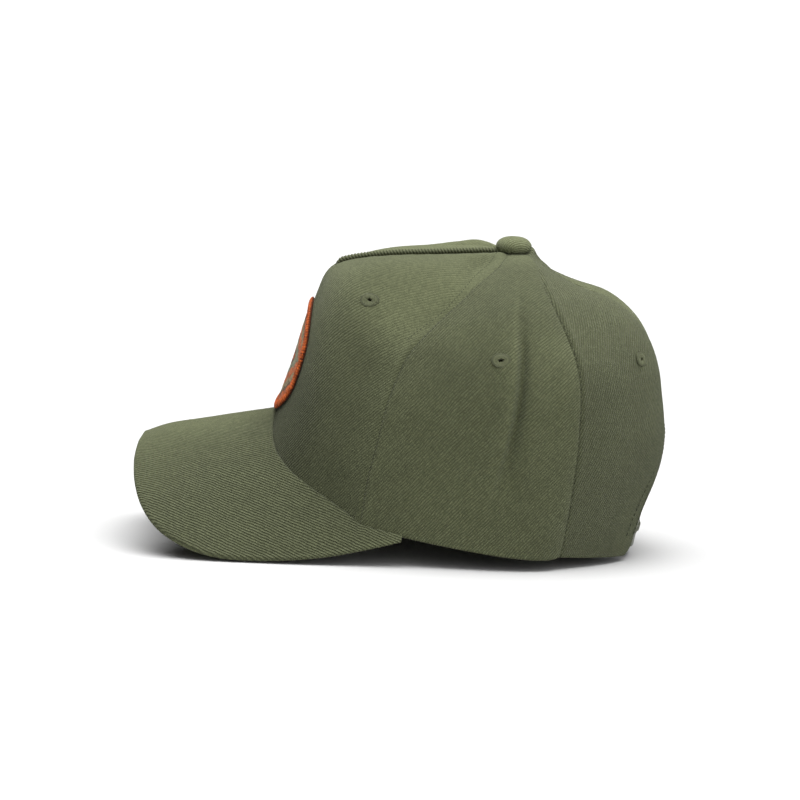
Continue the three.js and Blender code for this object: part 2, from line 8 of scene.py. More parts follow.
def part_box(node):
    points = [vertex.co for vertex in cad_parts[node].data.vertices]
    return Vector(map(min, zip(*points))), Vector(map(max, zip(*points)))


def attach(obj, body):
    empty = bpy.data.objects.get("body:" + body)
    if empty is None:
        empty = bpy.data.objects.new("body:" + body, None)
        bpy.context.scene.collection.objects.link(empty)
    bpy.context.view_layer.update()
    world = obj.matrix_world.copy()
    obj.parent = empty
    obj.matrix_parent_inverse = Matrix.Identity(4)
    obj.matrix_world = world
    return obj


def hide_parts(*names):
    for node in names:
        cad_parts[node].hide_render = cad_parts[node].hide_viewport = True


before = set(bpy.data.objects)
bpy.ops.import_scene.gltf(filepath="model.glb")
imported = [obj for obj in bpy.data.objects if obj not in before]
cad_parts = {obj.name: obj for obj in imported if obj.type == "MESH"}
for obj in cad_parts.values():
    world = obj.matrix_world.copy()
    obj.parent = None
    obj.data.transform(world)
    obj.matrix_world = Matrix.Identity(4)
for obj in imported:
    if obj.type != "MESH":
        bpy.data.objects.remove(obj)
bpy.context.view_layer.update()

# Snapback cap. Sizes are in millimetres in the part's own axes: x to the wearer's left, y back, z up.
MM = 0.001

# Panels of the crown, by the range of u, which runs round it from the middle of the front
FRONT, SIDE, BACK = (-1, 1), (1, 2), (2, 3)
PANEL_NAMES = {FRONT: "front", SIDE: "side", BACK: "back"}
HANDS = ((1, "left"), (-1, "right"))

# Driving sizes; the eyelets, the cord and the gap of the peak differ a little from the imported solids
WALL = 1.9
BUTTON = {"y": 56, "under": 151.6, "top": 159.5, "radius": 9.3}
EYELET = {"outer": 4.9, "hole": 1, "barrel": 2.5, "height": 0.5, "oval": 0.76, "cut": 2.9}
EYELETS = {FRONT: (0.65, 0.4775), SIDE: (1.4, 0.475), BACK: (2.52, 0.465)}
DART = {"width": 3.6, "height": 2.3, "start": 0.02, "end": 0.508, "pitch": 1.65}
PEAK = {"thickness": 3.2, "tip": 1.8, "seam": 0.976, "corner": 0.988, "ends": 1.13, "gap": 0.06}
ARCH = {"half_width": 31, "spring": 10, "top": 64, "power": 1.7}
STRAP = {"width": 20, "thickness": 1.3, "bottom": 2.5, "inset": 0.45, "half_length": 40, "lap": 27}
SNAPS = {"pitch": 8.5, "radius": 2.6, "height": 1, "count": 7}
PATCH = {"widest": 88, "half_width": 37, "up": 35.8, "down": 21.6, "border": 4.6, "lift": 0.2}
PATCH_POWER = {"up": 2.5, "down": 3}

# Cloth and thread
RIB_PITCH = 1.3
FLOAT_PITCH = 0.95
STITCH = {"pitch": 1.95, "length": 1.05, "radius": 0.15}
ARCH_STITCH = {"pitch": 2.6, "length": 1.9, "radius": 0.22}
OLIVE = (0.088, 0.0965, 0.051)
# Painted shade: the darker colour of the grooves between the twill's ribs
OLIVE_GROOVE_SHADE = (0.05, 0.0555, 0.0275)
# Seam thread, darker than the cloth: partly the thread's own olive and partly painted shade of its needle
# holes
SEAM_THREAD_WITH_SHADE = (0.042, 0.047, 0.025)
BADGE_EDGE = (0.34, 0.069, 0.014)

# Where each panel's ribs are measured, as shares of its height and width, and their angle to the level
WEAVE = {FRONT: ((0.645, 0.745), 38), SIDE: ((0.55, 0.4), 49), BACK: ((0.55, 0.35), 60)}
# Coarse grid that is laid flat; the front is cut open along the seam on its top as far down as the slit
PATTERN = {"top": 0.03, "rows": 49, "columns": 25, "slit": 0.5}

# Camera of the photograph: the wearer's left side, nearly level
CAMERA = {"target": (0, 0, 72.2), "distance": 1600, "scale": 0.52, "elevation": 7, "roll": 2}
PHOTO_SIZE = 800
SENSOR = 36

# Lights of the surroundings: direction, the two cosines from it between which the light changes, and its
# strength at each: a white band along the horizon, a wide light overhead, a weaker one behind the camera
SKY = [
    ((0, 0, 1), (0.02, 0.06, 1.15, 0)),
    ((0, 0, 1), (0.7, 0.97, 0, 7.2)),
    ((0.9, 0.6, 0.4), (0.6, 0.95, 0, 1.85)),
]

# Lines down the crown from under the button to the lower edge, as x, y, z
FRONT_MIDDLE = [
    (0, 51, 150.6), (0, 44, 151), (0, 18, 149.6), (0, -8, 147.9), (0, -24, 145.6),
    (0, -32.5, 143.4), (0, -38, 140.4), (0, -41.4, 135.8), (0, -43.8, 129.5), (0, -49, 114),
    (0, -54.6, 93.5), (0, -59.6, 78), (0, -65, 62),
]
FRONT_INNER = [
    (1.7, 51.3, 150.7), (6, 45, 151.7), (15, 33.5, 152.5), (21.5, 11, 151.6), (25, -8, 149.5),
    (27, -22, 145.6), (28.5, -32, 139.8), (29.5, -39, 131), (30.5, -44.5, 119),
    (31.8, -49.2, 100), (33, -55, 80), (34.3, -65.4, 54),
]
FRONT_OUTER = [
    (3.2, 52.3, 150.7), (9.5, 47.5, 151.8), (23, 38.5, 150.8), (37, 22.5, 145), (45, 3.5, 137.3),
    (49.5, -14, 128.5), (52.5, -25, 117), (54.5, -33, 102), (56, -40, 84),
    (57, -46, 64), (57.8, -52.2, 36.3),
]
FRONT_SEAM = [
    (4.4, 53.9, 150.6), (9, 52.4, 149.9), (24, 47.1, 144.6), (37, 37.6, 137.7), (46, 29.4, 129.9),
    (55, 16.9, 118.2), (60.5, 8, 109.2), (64.2, 2.1, 100.6), (68, -3.2, 88.3), (70.8, -7, 76.4),
    (73, -11.5, 56), (74, -15, 40.4), (73.8, -18.2, 16.5),
]
SIDE_MIDDLE = [
    (5, 56, 150.7), (10, 56.5, 150.3), (25, 57.5, 146.4), (39, 58.2, 139.7), (50.5, 58.4, 131.8),
    (62, 57.9, 120.3), (70.5, 58, 103.7), (76, 56.4, 83.8), (78.5, 54.5, 68.5), (80, 52.8, 51.7),
    (80.8, 52, 34.8), (80.6, 51.8, 5.2),
]
BACK_SEAM = [
    (4.4, 58.4, 150.7), (9, 62.5, 150.4), (17, 66, 148.2), (28, 68.5, 143.4), (40, 71, 136.2),
    (51, 77.3, 124.4), (59, 84.3, 110.2), (64, 88.4, 98.3), (67.2, 90, 83.7), (69.3, 89.5, 58.2),
    (70, 88.1, 42.6), (70, 85.8, 25.2), (69.5, 83, 4),
]
BACK_MIDDLE = [
    (3, 60, 150.7), (5, 65, 150.3), (12.5, 75, 143), (22, 87.5, 136.6), (30, 102, 128.6),
    (36, 113.5, 114.5), (38.5, 120.3, 97.5), (40, 123.5, 80), (40.8, 125.3, 62),
    (40.3, 123.3, 42), (39.5, 119.5, 22), (37.8, 115.2, 0.5),
]
BACK_CENTRE = [
    (0, 61, 150.7), (0, 67, 151.6), (0, 71.7, 148), (0, 77, 141.7), (0, 86, 137.3),
    (0, 98.6, 133), (0, 111.6, 126), (0, 122, 116), (0, 128.6, 103), (0, 132, 88),
    (0, 134.6, 72), (0, 135.9, 60), (0, 135, 45), (0, 130.9, 28), (0, 127.6, 14),
    (0, 125.4, 0.8),
]
# Outer edge of the peak from the middle of the nose to the corner by the seam, as x, y, z
PEAK_EDGE = [
    (0, -133.4, 52), (18, -134.4, 49.6), (35, -134.6, 42.8), (50, -132.6, 33.4), (62, -128, 23.4),
    (71, -119.6, 13.8), (76.5, -107, 6.2), (79.5, -90, 0.9), (80.5, -66, -0.5), (80.5, -38, 1.4),
    (80.2, -14, 6.3), (80.8, 3, 11),
]

# Fold of the front on the far side of its corded seam: how far back, how far across, how high
FAR_FOLD = {
    "back": [10, 20, 28, 34, 40, 46, 52],
    "across": [24, 24, 24, 23, 21, 16, 9],
    "height": [0, 0.2, 0.8, 1.9, 2.6, 2.7, 1.8],
}
# Crease of the side panel: how far down it is, and how far round
CREASE = {
    "down": [0.25, 0.36, 0.46, 0.57, 0.63, 0.71, 0.8, 0.9],
    "round": [1.49, 1.5, 1.51, 1.518, 1.516, 1.505, 1.472, 1.425],
}

# Bands of the badge's made-up design, which repeat: reach from the middle, colour, lean of the stitches
BADGE_BANDS = [
    (4, (0.2, 0.21, 0.13), 0), (7.5, (0.4, 0.1, 0.03), 90), (9, (0.07, 0.05, 0.03), 0),
    (14, (0.2, 0.2, 0.13), 60), (19.5, (0.42, 0.11, 0.03), 0), (24, (0.24, 0.19, 0.1), 90),
    (26, (0.1, 0.07, 0.045), 30), (30, (0.42, 0.1, 0.025), 45),
]
# Section of one snap: share of its radius, and height above the band
SNAP_SECTION = np.array([
    (0.02, 0.25), (0.3, 0.22), (0.42, 0.3), (0.5, 0.75), (0.62, 0.95),
    (0.82, 0.95), (0.95, 0.75), (1, 0.3), (1, -0.5), (0.02, -0.5),
])

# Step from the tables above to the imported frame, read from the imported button
BUTTON_LOW, BUTTON_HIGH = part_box("top_button")
SHIFT = np.array([
    0,
    (BUTTON_LOW.y + BUTTON_HIGH.y) / 2 / MM - BUTTON["y"],
    BUTTON_HIGH.z / MM - BUTTON["top"],
])


# Curves and surfaces
def spline(rows, steps=120):
    """Dense points of a centripetal curve through the rows."""
    p = np.array(rows, float)
    p = np.vstack([2 * p[0] - p[1], p, 2 * p[-1] - p[-2]])
    gap = np.linalg.norm(np.diff(p, axis=0), axis=1) ** 0.5
    s = np.linspace(0, 1, steps, endpoint=False)[:, None]
    parts = []
    for i in range(1, len(p) - 2):
        a, b, c, d = p[i - 1 : i + 3]
        before, here, after = gap[i - 1 : i + 2]
        start = here * ((b - a) / before - (c - a) / (before + here) + (c - b) / here)
        end = here * ((c - b) / here - (d - b) / (here + after) + (d - c) / after)
        cubic = (2 * (b - c) + start + end) * s**3
        parts.append(b + start * s + (3 * (c - b) - 2 * start - end) * s**2 + cubic)
    return np.vstack([*parts, p[-2][None]])


def run_along(points, axis=0):
    """Distance along a path, or along the rows or columns of a grid, from the first point."""
    steps = np.linalg.norm(np.diff(points, axis=axis), axis=-1)
    return np.insert(np.cumsum(steps, axis=axis), 0, 0, axis=axis)


def at_run(at, run, values):
    """Values that are known along a run, at other places of it."""
    return np.stack([np.interp(at, run, column) for column in values.T], -1)


def line(rows):
    """Function that gives the point of a curve at a share of its length."""
    dense = spline(rows)
    run = run_along(dense)
    return lambda share: at_run(share, run / run[-1], dense)


LINES = {
    FRONT: [line(rows) for rows in (FRONT_MIDDLE, FRONT_INNER, FRONT_OUTER, FRONT_SEAM)],
    SIDE: [line(rows) for rows in (FRONT_SEAM, SIDE_MIDDLE, BACK_SEAM)],
    BACK: [line(rows) for rows in (BACK_SEAM, BACK_MIDDLE, BACK_CENTRE)],
}
PEAK_LINE = line(PEAK_EDGE)


def weights(knots, at):
    """Shares of a polynomial that passes through the given knots."""
    shares = []
    for i, own in enumerate(knots):
        product = np.ones_like(at)
        for j, other in enumerate(knots):
            if i != j:
                product = product * (at - other) / (own - other)
        shares.append(product)
    return shares


def mix(points, shares):
    return sum(point * share[..., None] for point, share in zip(points, shares))


def base(u, t, panel):
    """Point of the crown without folds: u runs round the crown, t down from the button."""
    u, t = np.broadcast_arrays(np.asarray(u, float), np.asarray(t, float))
    points = [at(t) for at in LINES[panel]]
    if panel != FRONT:
        return mix(points, weights(np.linspace(*panel, 3), u))
    knots = np.array([0, 1 / 3, 2 / 3, 1])
    point = mix(points, weights(knots**2, u * u))
    slopes = [p[..., 0] / knot for p, knot in zip(points[1:], knots[1:])]
    point[..., 0] = u * sum(s * w for s, w in zip(slopes, weights(knots[1:] ** 2, u * u)))
    return point


def unit(vectors):
    return vectors / np.maximum(np.linalg.norm(vectors, axis=-1, keepdims=True), 1e-9)


def normal(u, t, panel, step=0.004):
    before, after = np.maximum(u - step, panel[0]), np.minimum(u + step, panel[1])
    above, below = np.maximum(t - step, 0), np.minimum(t + step, 1)
    across = base(after, t, panel) - base(before, t, panel)
    down = base(u, below, panel) - base(u, above, panel)
    return unit(np.cross(down, across))


def bell(value, middle, width):
    return np.exp(-(((value - middle) / width) ** 2))


def ramp(value, start, end):
    share = np.clip((value - start) / (end - start), 0, 1)
    return share * share * (3 - 2 * share)


def plateau(value, start, full, fall, end):
    """1 between full and fall, and softly down to 0 at start and end."""
    return ramp(value, start, full) * (1 - ramp(value, fall, end))


def swell(u, t, panel):
    """Soft swelling of each panel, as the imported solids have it."""
    if panel == SIDE:
        return plateau(t, 0.22, 0.4, 0.72, 0.95) * (1.3 * bell(u, 1.4, 0.1) - 1.5 * bell(u, 1.53, 0.05))
    if panel == BACK:
        across = np.sin(np.pi * (u - 2) ** 2) ** 2
        return 3.4 * across * ramp(t, 0.16, 0.34) * (1 - 0.6 * ramp(t, 0.5, 0.9))
    return 0.8 * bell(abs(u), 0.8, 0.2) * (1 - abs(u)) * ramp(t, 0.1, 0.4)


def crown(u, t, panel):
    """Outer face of the crown and its normal."""
    n = normal(u, t, panel)
    return base(u, t, panel) + n * swell(u, t, panel)[..., None], n


def surface_at(x, z, panel, u, t, step, u_range, t_range):
    """Outer face and normal at given x and z, found by Newton's method from a first guess."""
    for _ in range(14):
        here, _ = crown(u, t, panel)
        by_u = (crown(u + step, t, panel)[0] - here) / step
        by_t = (crown(u, t + step, panel)[0] - here) / step
        det = by_u[..., 0] * by_t[..., 2] - by_t[..., 0] * by_u[..., 2]
        dx, dz = x - here[..., 0], z - here[..., 2]
        u = np.clip(u + (dx * by_t[..., 2] - by_t[..., 0] * dz) / det, *u_range)
        t = np.clip(t + (by_u[..., 0] * dz - dx * by_u[..., 2]) / det, *t_range)
    return crown(u, t, panel)


def on_front(x, z):
    """Points and normals of the front."""
    return surface_at(x, z, FRONT, x / 100, np.full_like(x, 0.8), 0.01, FRONT, (0, 0.97))


def on_back(x, z):
    """Points and normals of the back, on both halves."""
    guess = 3 - 0.019 * abs(x), np.full_like(x, 0.85)
    point, up = surface_at(abs(x), z, BACK, *guess, -0.01, (2.02, 3), (0.2, 1))
    return mirrored(point, hand_of(x)), mirrored(up, hand_of(x))


def hand_of(x):
    return np.where(x < 0, -1, 1)


def pairs(first, second):
    """Grid of pairs of numbers."""
    return np.stack(np.broadcast_arrays(first, second), -1)


def powered(value, power):
    return np.sign(value) * abs(value) ** power


def mirrored(points, side=-1):
    """Points or directions with their x multiplied by side, 1 or -1."""
    return points * (np.asarray(side)[..., None] * [1, 0, 0] + [0, 1, 1])


def seam_normals(u, t, panel):
    """Normals that turn towards the neighbouring panel's near a seam, so that the two walls meet."""
    n = normal(u, t, panel)
    around = {FRONT: [(1, SIDE)], SIDE: [(1, FRONT), (2, BACK)], BACK: [(2, SIDE)]}[panel]
    for seam, other in around:
        shared = unit(normal(seam, t, panel) + normal(seam, t, other))
        near = bell(abs(u), seam, 0.045)[..., None]
        n = unit(n * (1 - near) + mirrored(shared, hand_of(u)) * near)
    if panel == BACK:
        n[..., 0] *= 1 - bell(u, 3, 0.02)
    return unit(n)


def eased(count, share=0.55):
    """Steps from 0 to 1 that lie closer together at both ends."""
    even = np.linspace(0, 1, count)
    return even * (1 - share) + (0.5 - 0.5 * np.cos(np.pi * even)) * share


def circle(count):
    return np.linspace(0, 2 * np.pi, count, endpoint=False)


def spokes(up, turn, oval=1):
    """Directions round an axis and square to it."""
    first = unit(np.cross(up, [0, 0, 1]))
    return first * np.cos(turn)[:, None] + np.cross(up, first) * np.sin(turn)[:, None] * oval


def ripple(points, size, seed):
    """Smooth unevenness between -1 and 1, the same on every run."""
    flat = points.reshape(-1, 3)
    values = [noise.noise(Vector(p) / size + Vector((seed, 2 * seed, -seed))) for p in flat]
    return np.array(values).reshape(points.shape[:-1])


# Bodies: points, faces and end caps
def quads(rows, columns, wrap=False):
    """Faces of a grid of points, numbered row by row."""
    r, c = np.meshgrid(np.arange(rows - 1), np.arange(columns if wrap else columns - 1), indexing="ij")
    row, right = r * columns, (c + 1) % columns
    return np.stack([row + c, row + columns + c, row + columns + right, row + right], -1).reshape(-1, 4)


def shell(outer, inner):
    """Closed body of an outer grid, an inner grid and the strips that join their rims."""
    rows, columns = outer.shape[:2]
    count = rows * columns
    index = np.arange(count).reshape(rows, columns)
    rim = np.concatenate([index[0, :-1], index[:-1, -1], index[-1, :0:-1], index[:0:-1, 0]])
    after = np.roll(rim, -1)
    sides = np.stack([rim, after, after + count, rim + count], -1)
    face = quads(rows, columns)
    points = np.vstack([outer.reshape(-1, 3), inner.reshape(-1, 3)])
    return points, np.vstack([face, face[:, ::-1] + count, sides]), []


def ring_body(points, closed=False):
    """Body made of rows of closed rings; a closed one ends where it starts."""
    rows, around = points.shape[:2]
    if closed:
        return points.reshape(-1, 3), quads(rows + 1, around, wrap=True) % (rows * around), []
    ring = np.arange(around)
    return points.reshape(-1, 3), quads(rows, around, wrap=True), [ring, (ring + (rows - 1) * around)[::-1]]


def ring_bodies(grids):
    """One body of many alike, each made of rows of closed rings."""
    _, faces, ends = ring_body(grids[0])
    starts = np.arange(len(grids)) * (grids[0].size // 3)
    caps = [end + start for start in starts for end in ends]
    return np.reshape(grids, (-1, 3)), np.vstack([faces + start for start in starts]), caps


def outward(points, faces):
    """Faces turned so that the body's volume is positive."""
    a, b, c, d = (points[faces[:, k]] for k in range(4))
    volume = (a * np.cross(b, c)).sum() + (a * np.cross(c, d)).sum()
    return faces if volume > 0 else faces[:, ::-1]


def corner_points(mesh):
    """Number of the point at each corner of the faces."""
    numbers = np.zeros(len(mesh.loops), np.int32)
    mesh.loops.foreach_get("vertex_index", numbers)
    return numbers


def add_object(name, data):
    made = bpy.data.objects.new(name, data)
    bpy.context.scene.collection.objects.link(made)
    return made


def add_piece(name, body, flat, material, slot, *nodes, colours=None):
    """Smooth piece of the cap; flat is the points' places on the flat cloth in millimetres, and like
    the colours it repeats where the body has a second face."""
    points, faces, caps = body
    ordered = outward(points, faces)
    step = 1 if ordered is faces else -1
    ends = [cap[::step].tolist() for cap in caps]
    mesh = bpy.data.meshes.new(name)
    mesh.from_pydata(((points + SHIFT) * MM).tolist(), [], ordered.tolist() + ends)
    mesh.polygons.foreach_set("use_smooth", np.ones(len(mesh.polygons), bool))
    layer = mesh.uv_layers.new(name="cloth")
    flat = np.resize(flat, (len(points), 2))[corner_points(mesh)] * MM
    layer.data.foreach_set("uv", flat.astype(np.float32).ravel())
    paint = np.ones((len(points), 4))
    if colours is not None:
        paint[:, : colours.shape[-1]] = np.resize(colours, (len(points), colours.shape[-1]))
    layer = mesh.color_attributes.new("paint", "FLOAT_COLOR", "POINT")
    layer.data.foreach_set("color", paint.astype(np.float32).ravel())
    mesh.materials.append(material)
    mesh.update()
    piece = add_object(name, mesh)
    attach(piece, "root")
    if nodes:
        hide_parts(*nodes)


# Flat pattern of each panel, so that the ribs of the twill run as they do on cut cloth
def unwrap(points, faces):
    """Flat layout of a small mesh, in millimetres."""
    mesh = bpy.data.meshes.new("pattern")
    mesh.from_pydata(points.tolist(), [], faces.tolist())
    piece = add_object("pattern", mesh)
    bpy.context.view_layer.objects.active = piece
    bpy.ops.object.mode_set(mode="EDIT")
    bpy.ops.mesh.select_all(action="SELECT")
    bpy.ops.uv.unwrap(method="ANGLE_BASED", margin=0)
    bpy.ops.object.mode_set(mode="OBJECT")
    spots = np.zeros(len(mesh.loops) * 2, np.float32)
    mesh.uv_layers[0].data.foreach_get("uv", spots)
    flat = np.zeros((len(points), 2))
    flat[corner_points(mesh)] = spots.reshape(-1, 2)
    bpy.data.objects.remove(piece)
    bpy.data.meshes.remove(mesh)
    start, end = faces[:, 0], faces[:, 1]
    real, laid = (np.linalg.norm(part[start] - part[end], axis=1).sum() for part in (points, flat))
    return flat * real / laid


def turned(flat, points, shape, at, lean, side=1):
    """Layout turned so that at one place its second axis follows ribs that rise towards the back."""
    corner = int(at[0] * (shape[0] - 2)) * shape[1] + int(at[1] * (shape[1] - 2))
    beside = [corner + 1, corner + shape[1]]
    angle = math.radians(lean)
    ribs = np.array([0, side * math.cos(angle), math.sin(angle)])
    shares = np.linalg.lstsq((points[beside] - points[corner]).T, ribs, rcond=None)[0]
    along = unit((flat[beside] - flat[corner]).T @ shares)
    return flat @ np.array([[along[1], along[0]], [-along[0], along[1]]])


def pattern(grid, at, lean, side=1):
    """Flat layout of a grid of points."""
    points = grid.reshape(-1, 3)
    flat = unwrap(points, quads(*grid.shape[:2]))
    return turned(flat, points, grid.shape, at, lean, side).reshape(*grid.shape[:2], 2)


def resample(layout, row, column):
    """Values of a coarse grid at shares of its rows and columns."""
    rows, columns = layout.shape[:2]
    r = np.clip(row * (rows - 1), 0, rows - 1.001)
    c = np.clip(column * (columns - 1), 0, columns - 1.001)
    r0, c0 = r.astype(int), c.astype(int)
    fr, fc = (r - r0)[..., None], (c - c0)[..., None]
    top = layout[r0, c0] * (1 - fc) + layout[r0, c0 + 1] * fc
    low = layout[r0 + 1, c0] * (1 - fc) + layout[r0 + 1, c0 + 1] * fc
    return top * (1 - fr) + low * fr


def pattern_row(t):
    return (t - PATTERN["top"]) / (1 - PATTERN["top"])


def pattern_grid(panel):
    """Coarse grid on a panel, for the front on its left half, and how far down its rows are."""
    down = np.linspace(PATTERN["top"], 1, PATTERN["rows"])
    across = np.linspace(max(panel[0], 0), panel[1], PATTERN["columns"])
    return crown(across[None, :], down[:, None], panel)[0], down


def panel_flat(panel, side, u, t):
    """Flat layout of a side or back panel at each of its points."""
    grid, _ = pattern_grid(panel)
    layout = pattern(mirrored(grid, side), *WEAVE[panel], side)
    return resample(layout, pattern_row(t), u - panel[0])


def front_flat(u, t):
    """Flat layout of the front panel, which is cut open along the seam on its top."""
    half, down = pattern_grid(FRONT)
    shape = half.shape[:2]
    count = shape[0] * shape[1]
    points = np.vstack([half.reshape(-1, 3), mirrored(half).reshape(-1, 3)])
    shared = np.flatnonzero(down > PATTERN["slit"]) * shape[1]
    twin = np.arange(2 * count)
    twin[shared + count] = shared
    own = quads(*shape)
    flat = unwrap(points, np.vstack([own, twin[own[:, ::-1] + count]]))
    flat[shared + count] = flat[shared]
    flat = turned(flat, points, shape, *WEAVE[FRONT])
    left, right = (resample(part.reshape(*shape, 2), pattern_row(t), abs(u)) for part in np.split(flat, 2))
    return np.where((u >= 0)[..., None], left, right)


# Relief of the cloth along its normal, from the distances to the panel's first and last edge
def seam_relief(distance, depth=0.6, pillow=0.25):
    return pillow * bell(distance, 2.3, 1.3) - depth * bell(distance, 0, 0.85)


def hem(distance, radius=WALL / 2):
    """How far the face turns in towards a free edge, so that the edge is round."""
    inside = radius - np.minimum(distance, radius)
    return (radius - np.sqrt(radius**2 - inside**2)) * 0.9


def soft_cloth(point, t, wide, size, seed, fine_seed):
    """Slight waves of worn cloth, wide ones and fine ones."""
    waves = wide * ripple(point, size, seed) + 0.18 * ripple(point, 9, fine_seed)
    return waves * ramp(t, 0.06, 0.3)


def crease_at(u, t):
    """How far round a point is from the crease of the side panel."""
    return u - np.interp(t, CREASE["down"], CREASE["round"])


def front_relief(u, t, first, last, point, side):
    x, y = point[..., 0], point[..., 1]
    seam = np.minimum(first, last)
    sewn = seam_relief(seam, 0.45) * ramp(t, 0.04, 0.16)
    allowance = 0.35 * plateau(seam, 0.4, 1.4, 5.2, 6.6) * ramp(t, 0.05, 0.15)
    allowance = allowance * (1 - 0.7 * ramp(t, 0.42, 0.6))
    dart = 0.5 * bell(x, 0, 2.6) * (1 - ramp(t, 0.5, 0.54))
    puckers = 0.1 * np.sin(y / 1.5) * bell(abs(x), 6, 5) * (1 - ramp(t, 0.4, 0.5))
    sunk = 2.1 * plateau(x, 0.5, 7, 24, 44) * ramp(y, -22, 14) * (1 - 0.75 * ramp(y, 34, 50))
    level = 0.9 * plateau(-x, 4, 10, 21, 26) * ramp(y, 8, 26)
    crest = -np.interp(y, FAR_FOLD["back"], FAR_FOLD["across"])
    fold = bell(x, crest, 5) * np.interp(y, FAR_FOLD["back"], FAR_FOLD["height"])
    valley = 0.8 * bell(x, crest + 8, 2) * ramp(y, 16, 28)
    soft = 0.35 * ripple(point, 32, 3) * (1 - ramp(t, 0.86, 0.96))
    raised = sewn + allowance + puckers + soft + level + fold
    return raised - dart - sunk * ramp(last, 1, 9) - valley


def side_relief(u, t, first, last, point, side):
    seams = (seam_relief(first, 0.45, 0.1) + seam_relief(last, 0.2, 0)) * ramp(t, 0.04, 0.16)
    ridge = 0.3 * bell(first, 2.8, 1.6) * ramp(t, 0.45, 0.7)
    crease = crease_at(u, t) * (first + last)
    fold = -2.5 * bell(crease, 1.9, 2.6) * plateau(t, 0.34, 0.5, 0.6, 0.86)
    rise = 1.7 * bell(crease, -2, 2) + 0.9 * bell(crease, -6, 4)
    edge = rise * plateau(t, 0.34, 0.5, 0.8, 0.95)
    hollow = -1.9 * bell(crease, -13, 8) * bell(t, 0.68, 0.15)
    puff = 1.6 * bell(crease, 10, 8) * bell(t, 0.68, 0.18)
    soft = soft_cloth(point, t, 0.55, 26, 11 + side, 5)
    soft = soft * (1 - ramp(t, 0.88, 0.96) * (1 - ramp(u, 1.13, 1.22)))
    worn = fold + edge + hollow + puff
    return seams + ridge + soft + worn * (1 if side > 0 else 0.4)


def back_relief(u, t, first, last, point, side):
    x, y = point[..., 0], point[..., 1]
    seams = seam_relief(first, 0.2, 0.1) * ramp(t, 0.04, 0.16) + seam_relief(last, 1.1, 0.4)
    ridge = 0.4 * bell(first, 2.6, 1.7) * plateau(t, 0.08, 0.2, 0.6, 0.85)
    sunk = (bell(last, 0, 5) + (0.3 + 0.6 * side) * bell(last, 12, 9)) * plateau(t, 0.1, 0.2, 0.55, 0.75)
    waves = (1.1 * bell(t, 0.48, 0.07) - 1.7 * bell(t, 0.31, 0.06)) * bell(last, 0, 26)
    lump = 3 * bell(y, 65.3, 1.7) * bell(x, 0, 7) - bell(y, 71, 3.2) * bell(x, 0, 12)
    return seams + ridge - sunk + waves + lump + soft_cloth(point, t, 0.6, 30, 21 + side, 8)


# Painted light and shade on each panel's cloth as its tone, and how strong the ribs of its twill are
def front_paint(u, t, side):
    """Smooth and painted light on top and along the seam, painted light on the far strip beyond the corded
    seam, painted shade lower down and in the hollow above the peak.
    """
    round_side = abs(u)
    # Painted light along the seam (band) and on the far strip beyond the corded seam (far); painted shade
    # lower down (shade) and in the hollow above the peak (hollow)
    band = bell(round_side, 0.8, 0.12) * plateau(t, 0.12, 0.28, 0.42, 0.55)
    shade = 0.2 * ramp(t, 0.48, 0.6) * (1 - 0.6 * ramp(round_side, 0.85, 1))
    hollow = 0.25 * ramp(t, 0.62, 0.85) * (1 - ramp(round_side, 0.6, 0.85))
    far = ramp(-u, 0.05, 0.2) * (1 - ramp(t, 0.4, 0.5))
    tone = (0.96 + 0.06 * ramp(t, 0.4, 0.5) + 0.22 * band + 0.28 * far) * (1 - shade - hollow)
    return tone, 0.3 + 0.6 * ramp(t, 0.4, 0.58) + 0.1 * ramp(t, 0.7, 0.8)


def side_paint(u, t, side):
    """Painted shade on top and in the middle towards the front, a painted highlight before the crease and
    painted shade behind it, painted light low down.
    """
    near_side = 0.6 + 0.4 * side
    # Painted shade on top (top) and in the middle (middle), a painted highlight before the crease (light),
    # painted shade behind it (dark) and painted light low down
    top = 0.22 * plateau(t, 0.05, 0.15, 0.32, 0.44)
    middle = 0.15 * bell(t, 0.52, 0.14) * (1 - ramp(u, 1.28, 1.42))
    crease = crease_at(u, t) * 100
    light = 0.17 * bell(crease, -3.2, 2.4) * bell(t, 0.5, 0.3) * near_side
    dark = 0.13 * bell(crease, 3, 3) * bell(t, 0.55, 0.2) * near_side
    tone = 0.98 - top - middle + light - dark + 0.15 * ramp(t, 0.7, 0.92) * bell(u, 1.38, 0.22)
    return tone, 0.6 + 0.2 * ramp(t, 0.25, 0.5) + 0.25 * ramp(t, 0.8, 0.95)


def back_paint(u, t, side):
    """Painted light low down and beside the middle seam on the far half, painted shade along that seam."""
    # Painted light low down (low) and on the far half beside the middle seam (far), painted shade in the
    # middle seam (seam), all a little darkened
    low = 0.15 * ramp(t, 0.78, 0.95) * ramp(u, 2.3, 2.5)
    far = 0.25 * (1 - side) * ramp(u, 2.6, 2.75) * (1 - ramp(t, 0.45, 0.6))
    seam = bell(u, 3, 0.02) * (1 - ramp(t, 0.5, 0.65))
    return (1 + low + far) * (1 - 0.45 * seam) * 0.96, 1


def painted(tone, ribs):
    return np.stack(np.broadcast_arrays(tone, tone, tone, ribs), -1)


# Panels of the crown
CLOTH = {FRONT: (front_relief, front_paint), SIDE: (side_relief, side_paint), BACK: (back_relief, back_paint)}


def eyelet_spots(panel):
    """Axis point of each eyelet in a panel, in the coordinates of the left half."""
    point, _ = crown(*EYELETS[panel], panel)
    return [point, mirrored(point)] if panel == FRONT else [point]


def with_holes(points, faces, grid_count, spots):
    """Shell faces with a hole round each spot, and the wall's thickness shown inside it."""
    middle = points[faces].mean(axis=1)
    near = np.any([np.linalg.norm(middle - spot, axis=1) < EYELET["cut"] for spot in spots], axis=0)
    upper = faces[near & (faces < grid_count).all(axis=1)].tolist()
    edges = dict.fromkeys((a, b) for face in upper for a, b in zip(face, face[1:] + face[:1]))
    walls = [[a, b, b + grid_count, a + grid_count] for a, b in edges if (b, a) not in edges]
    return np.vstack([faces[~near], walls])


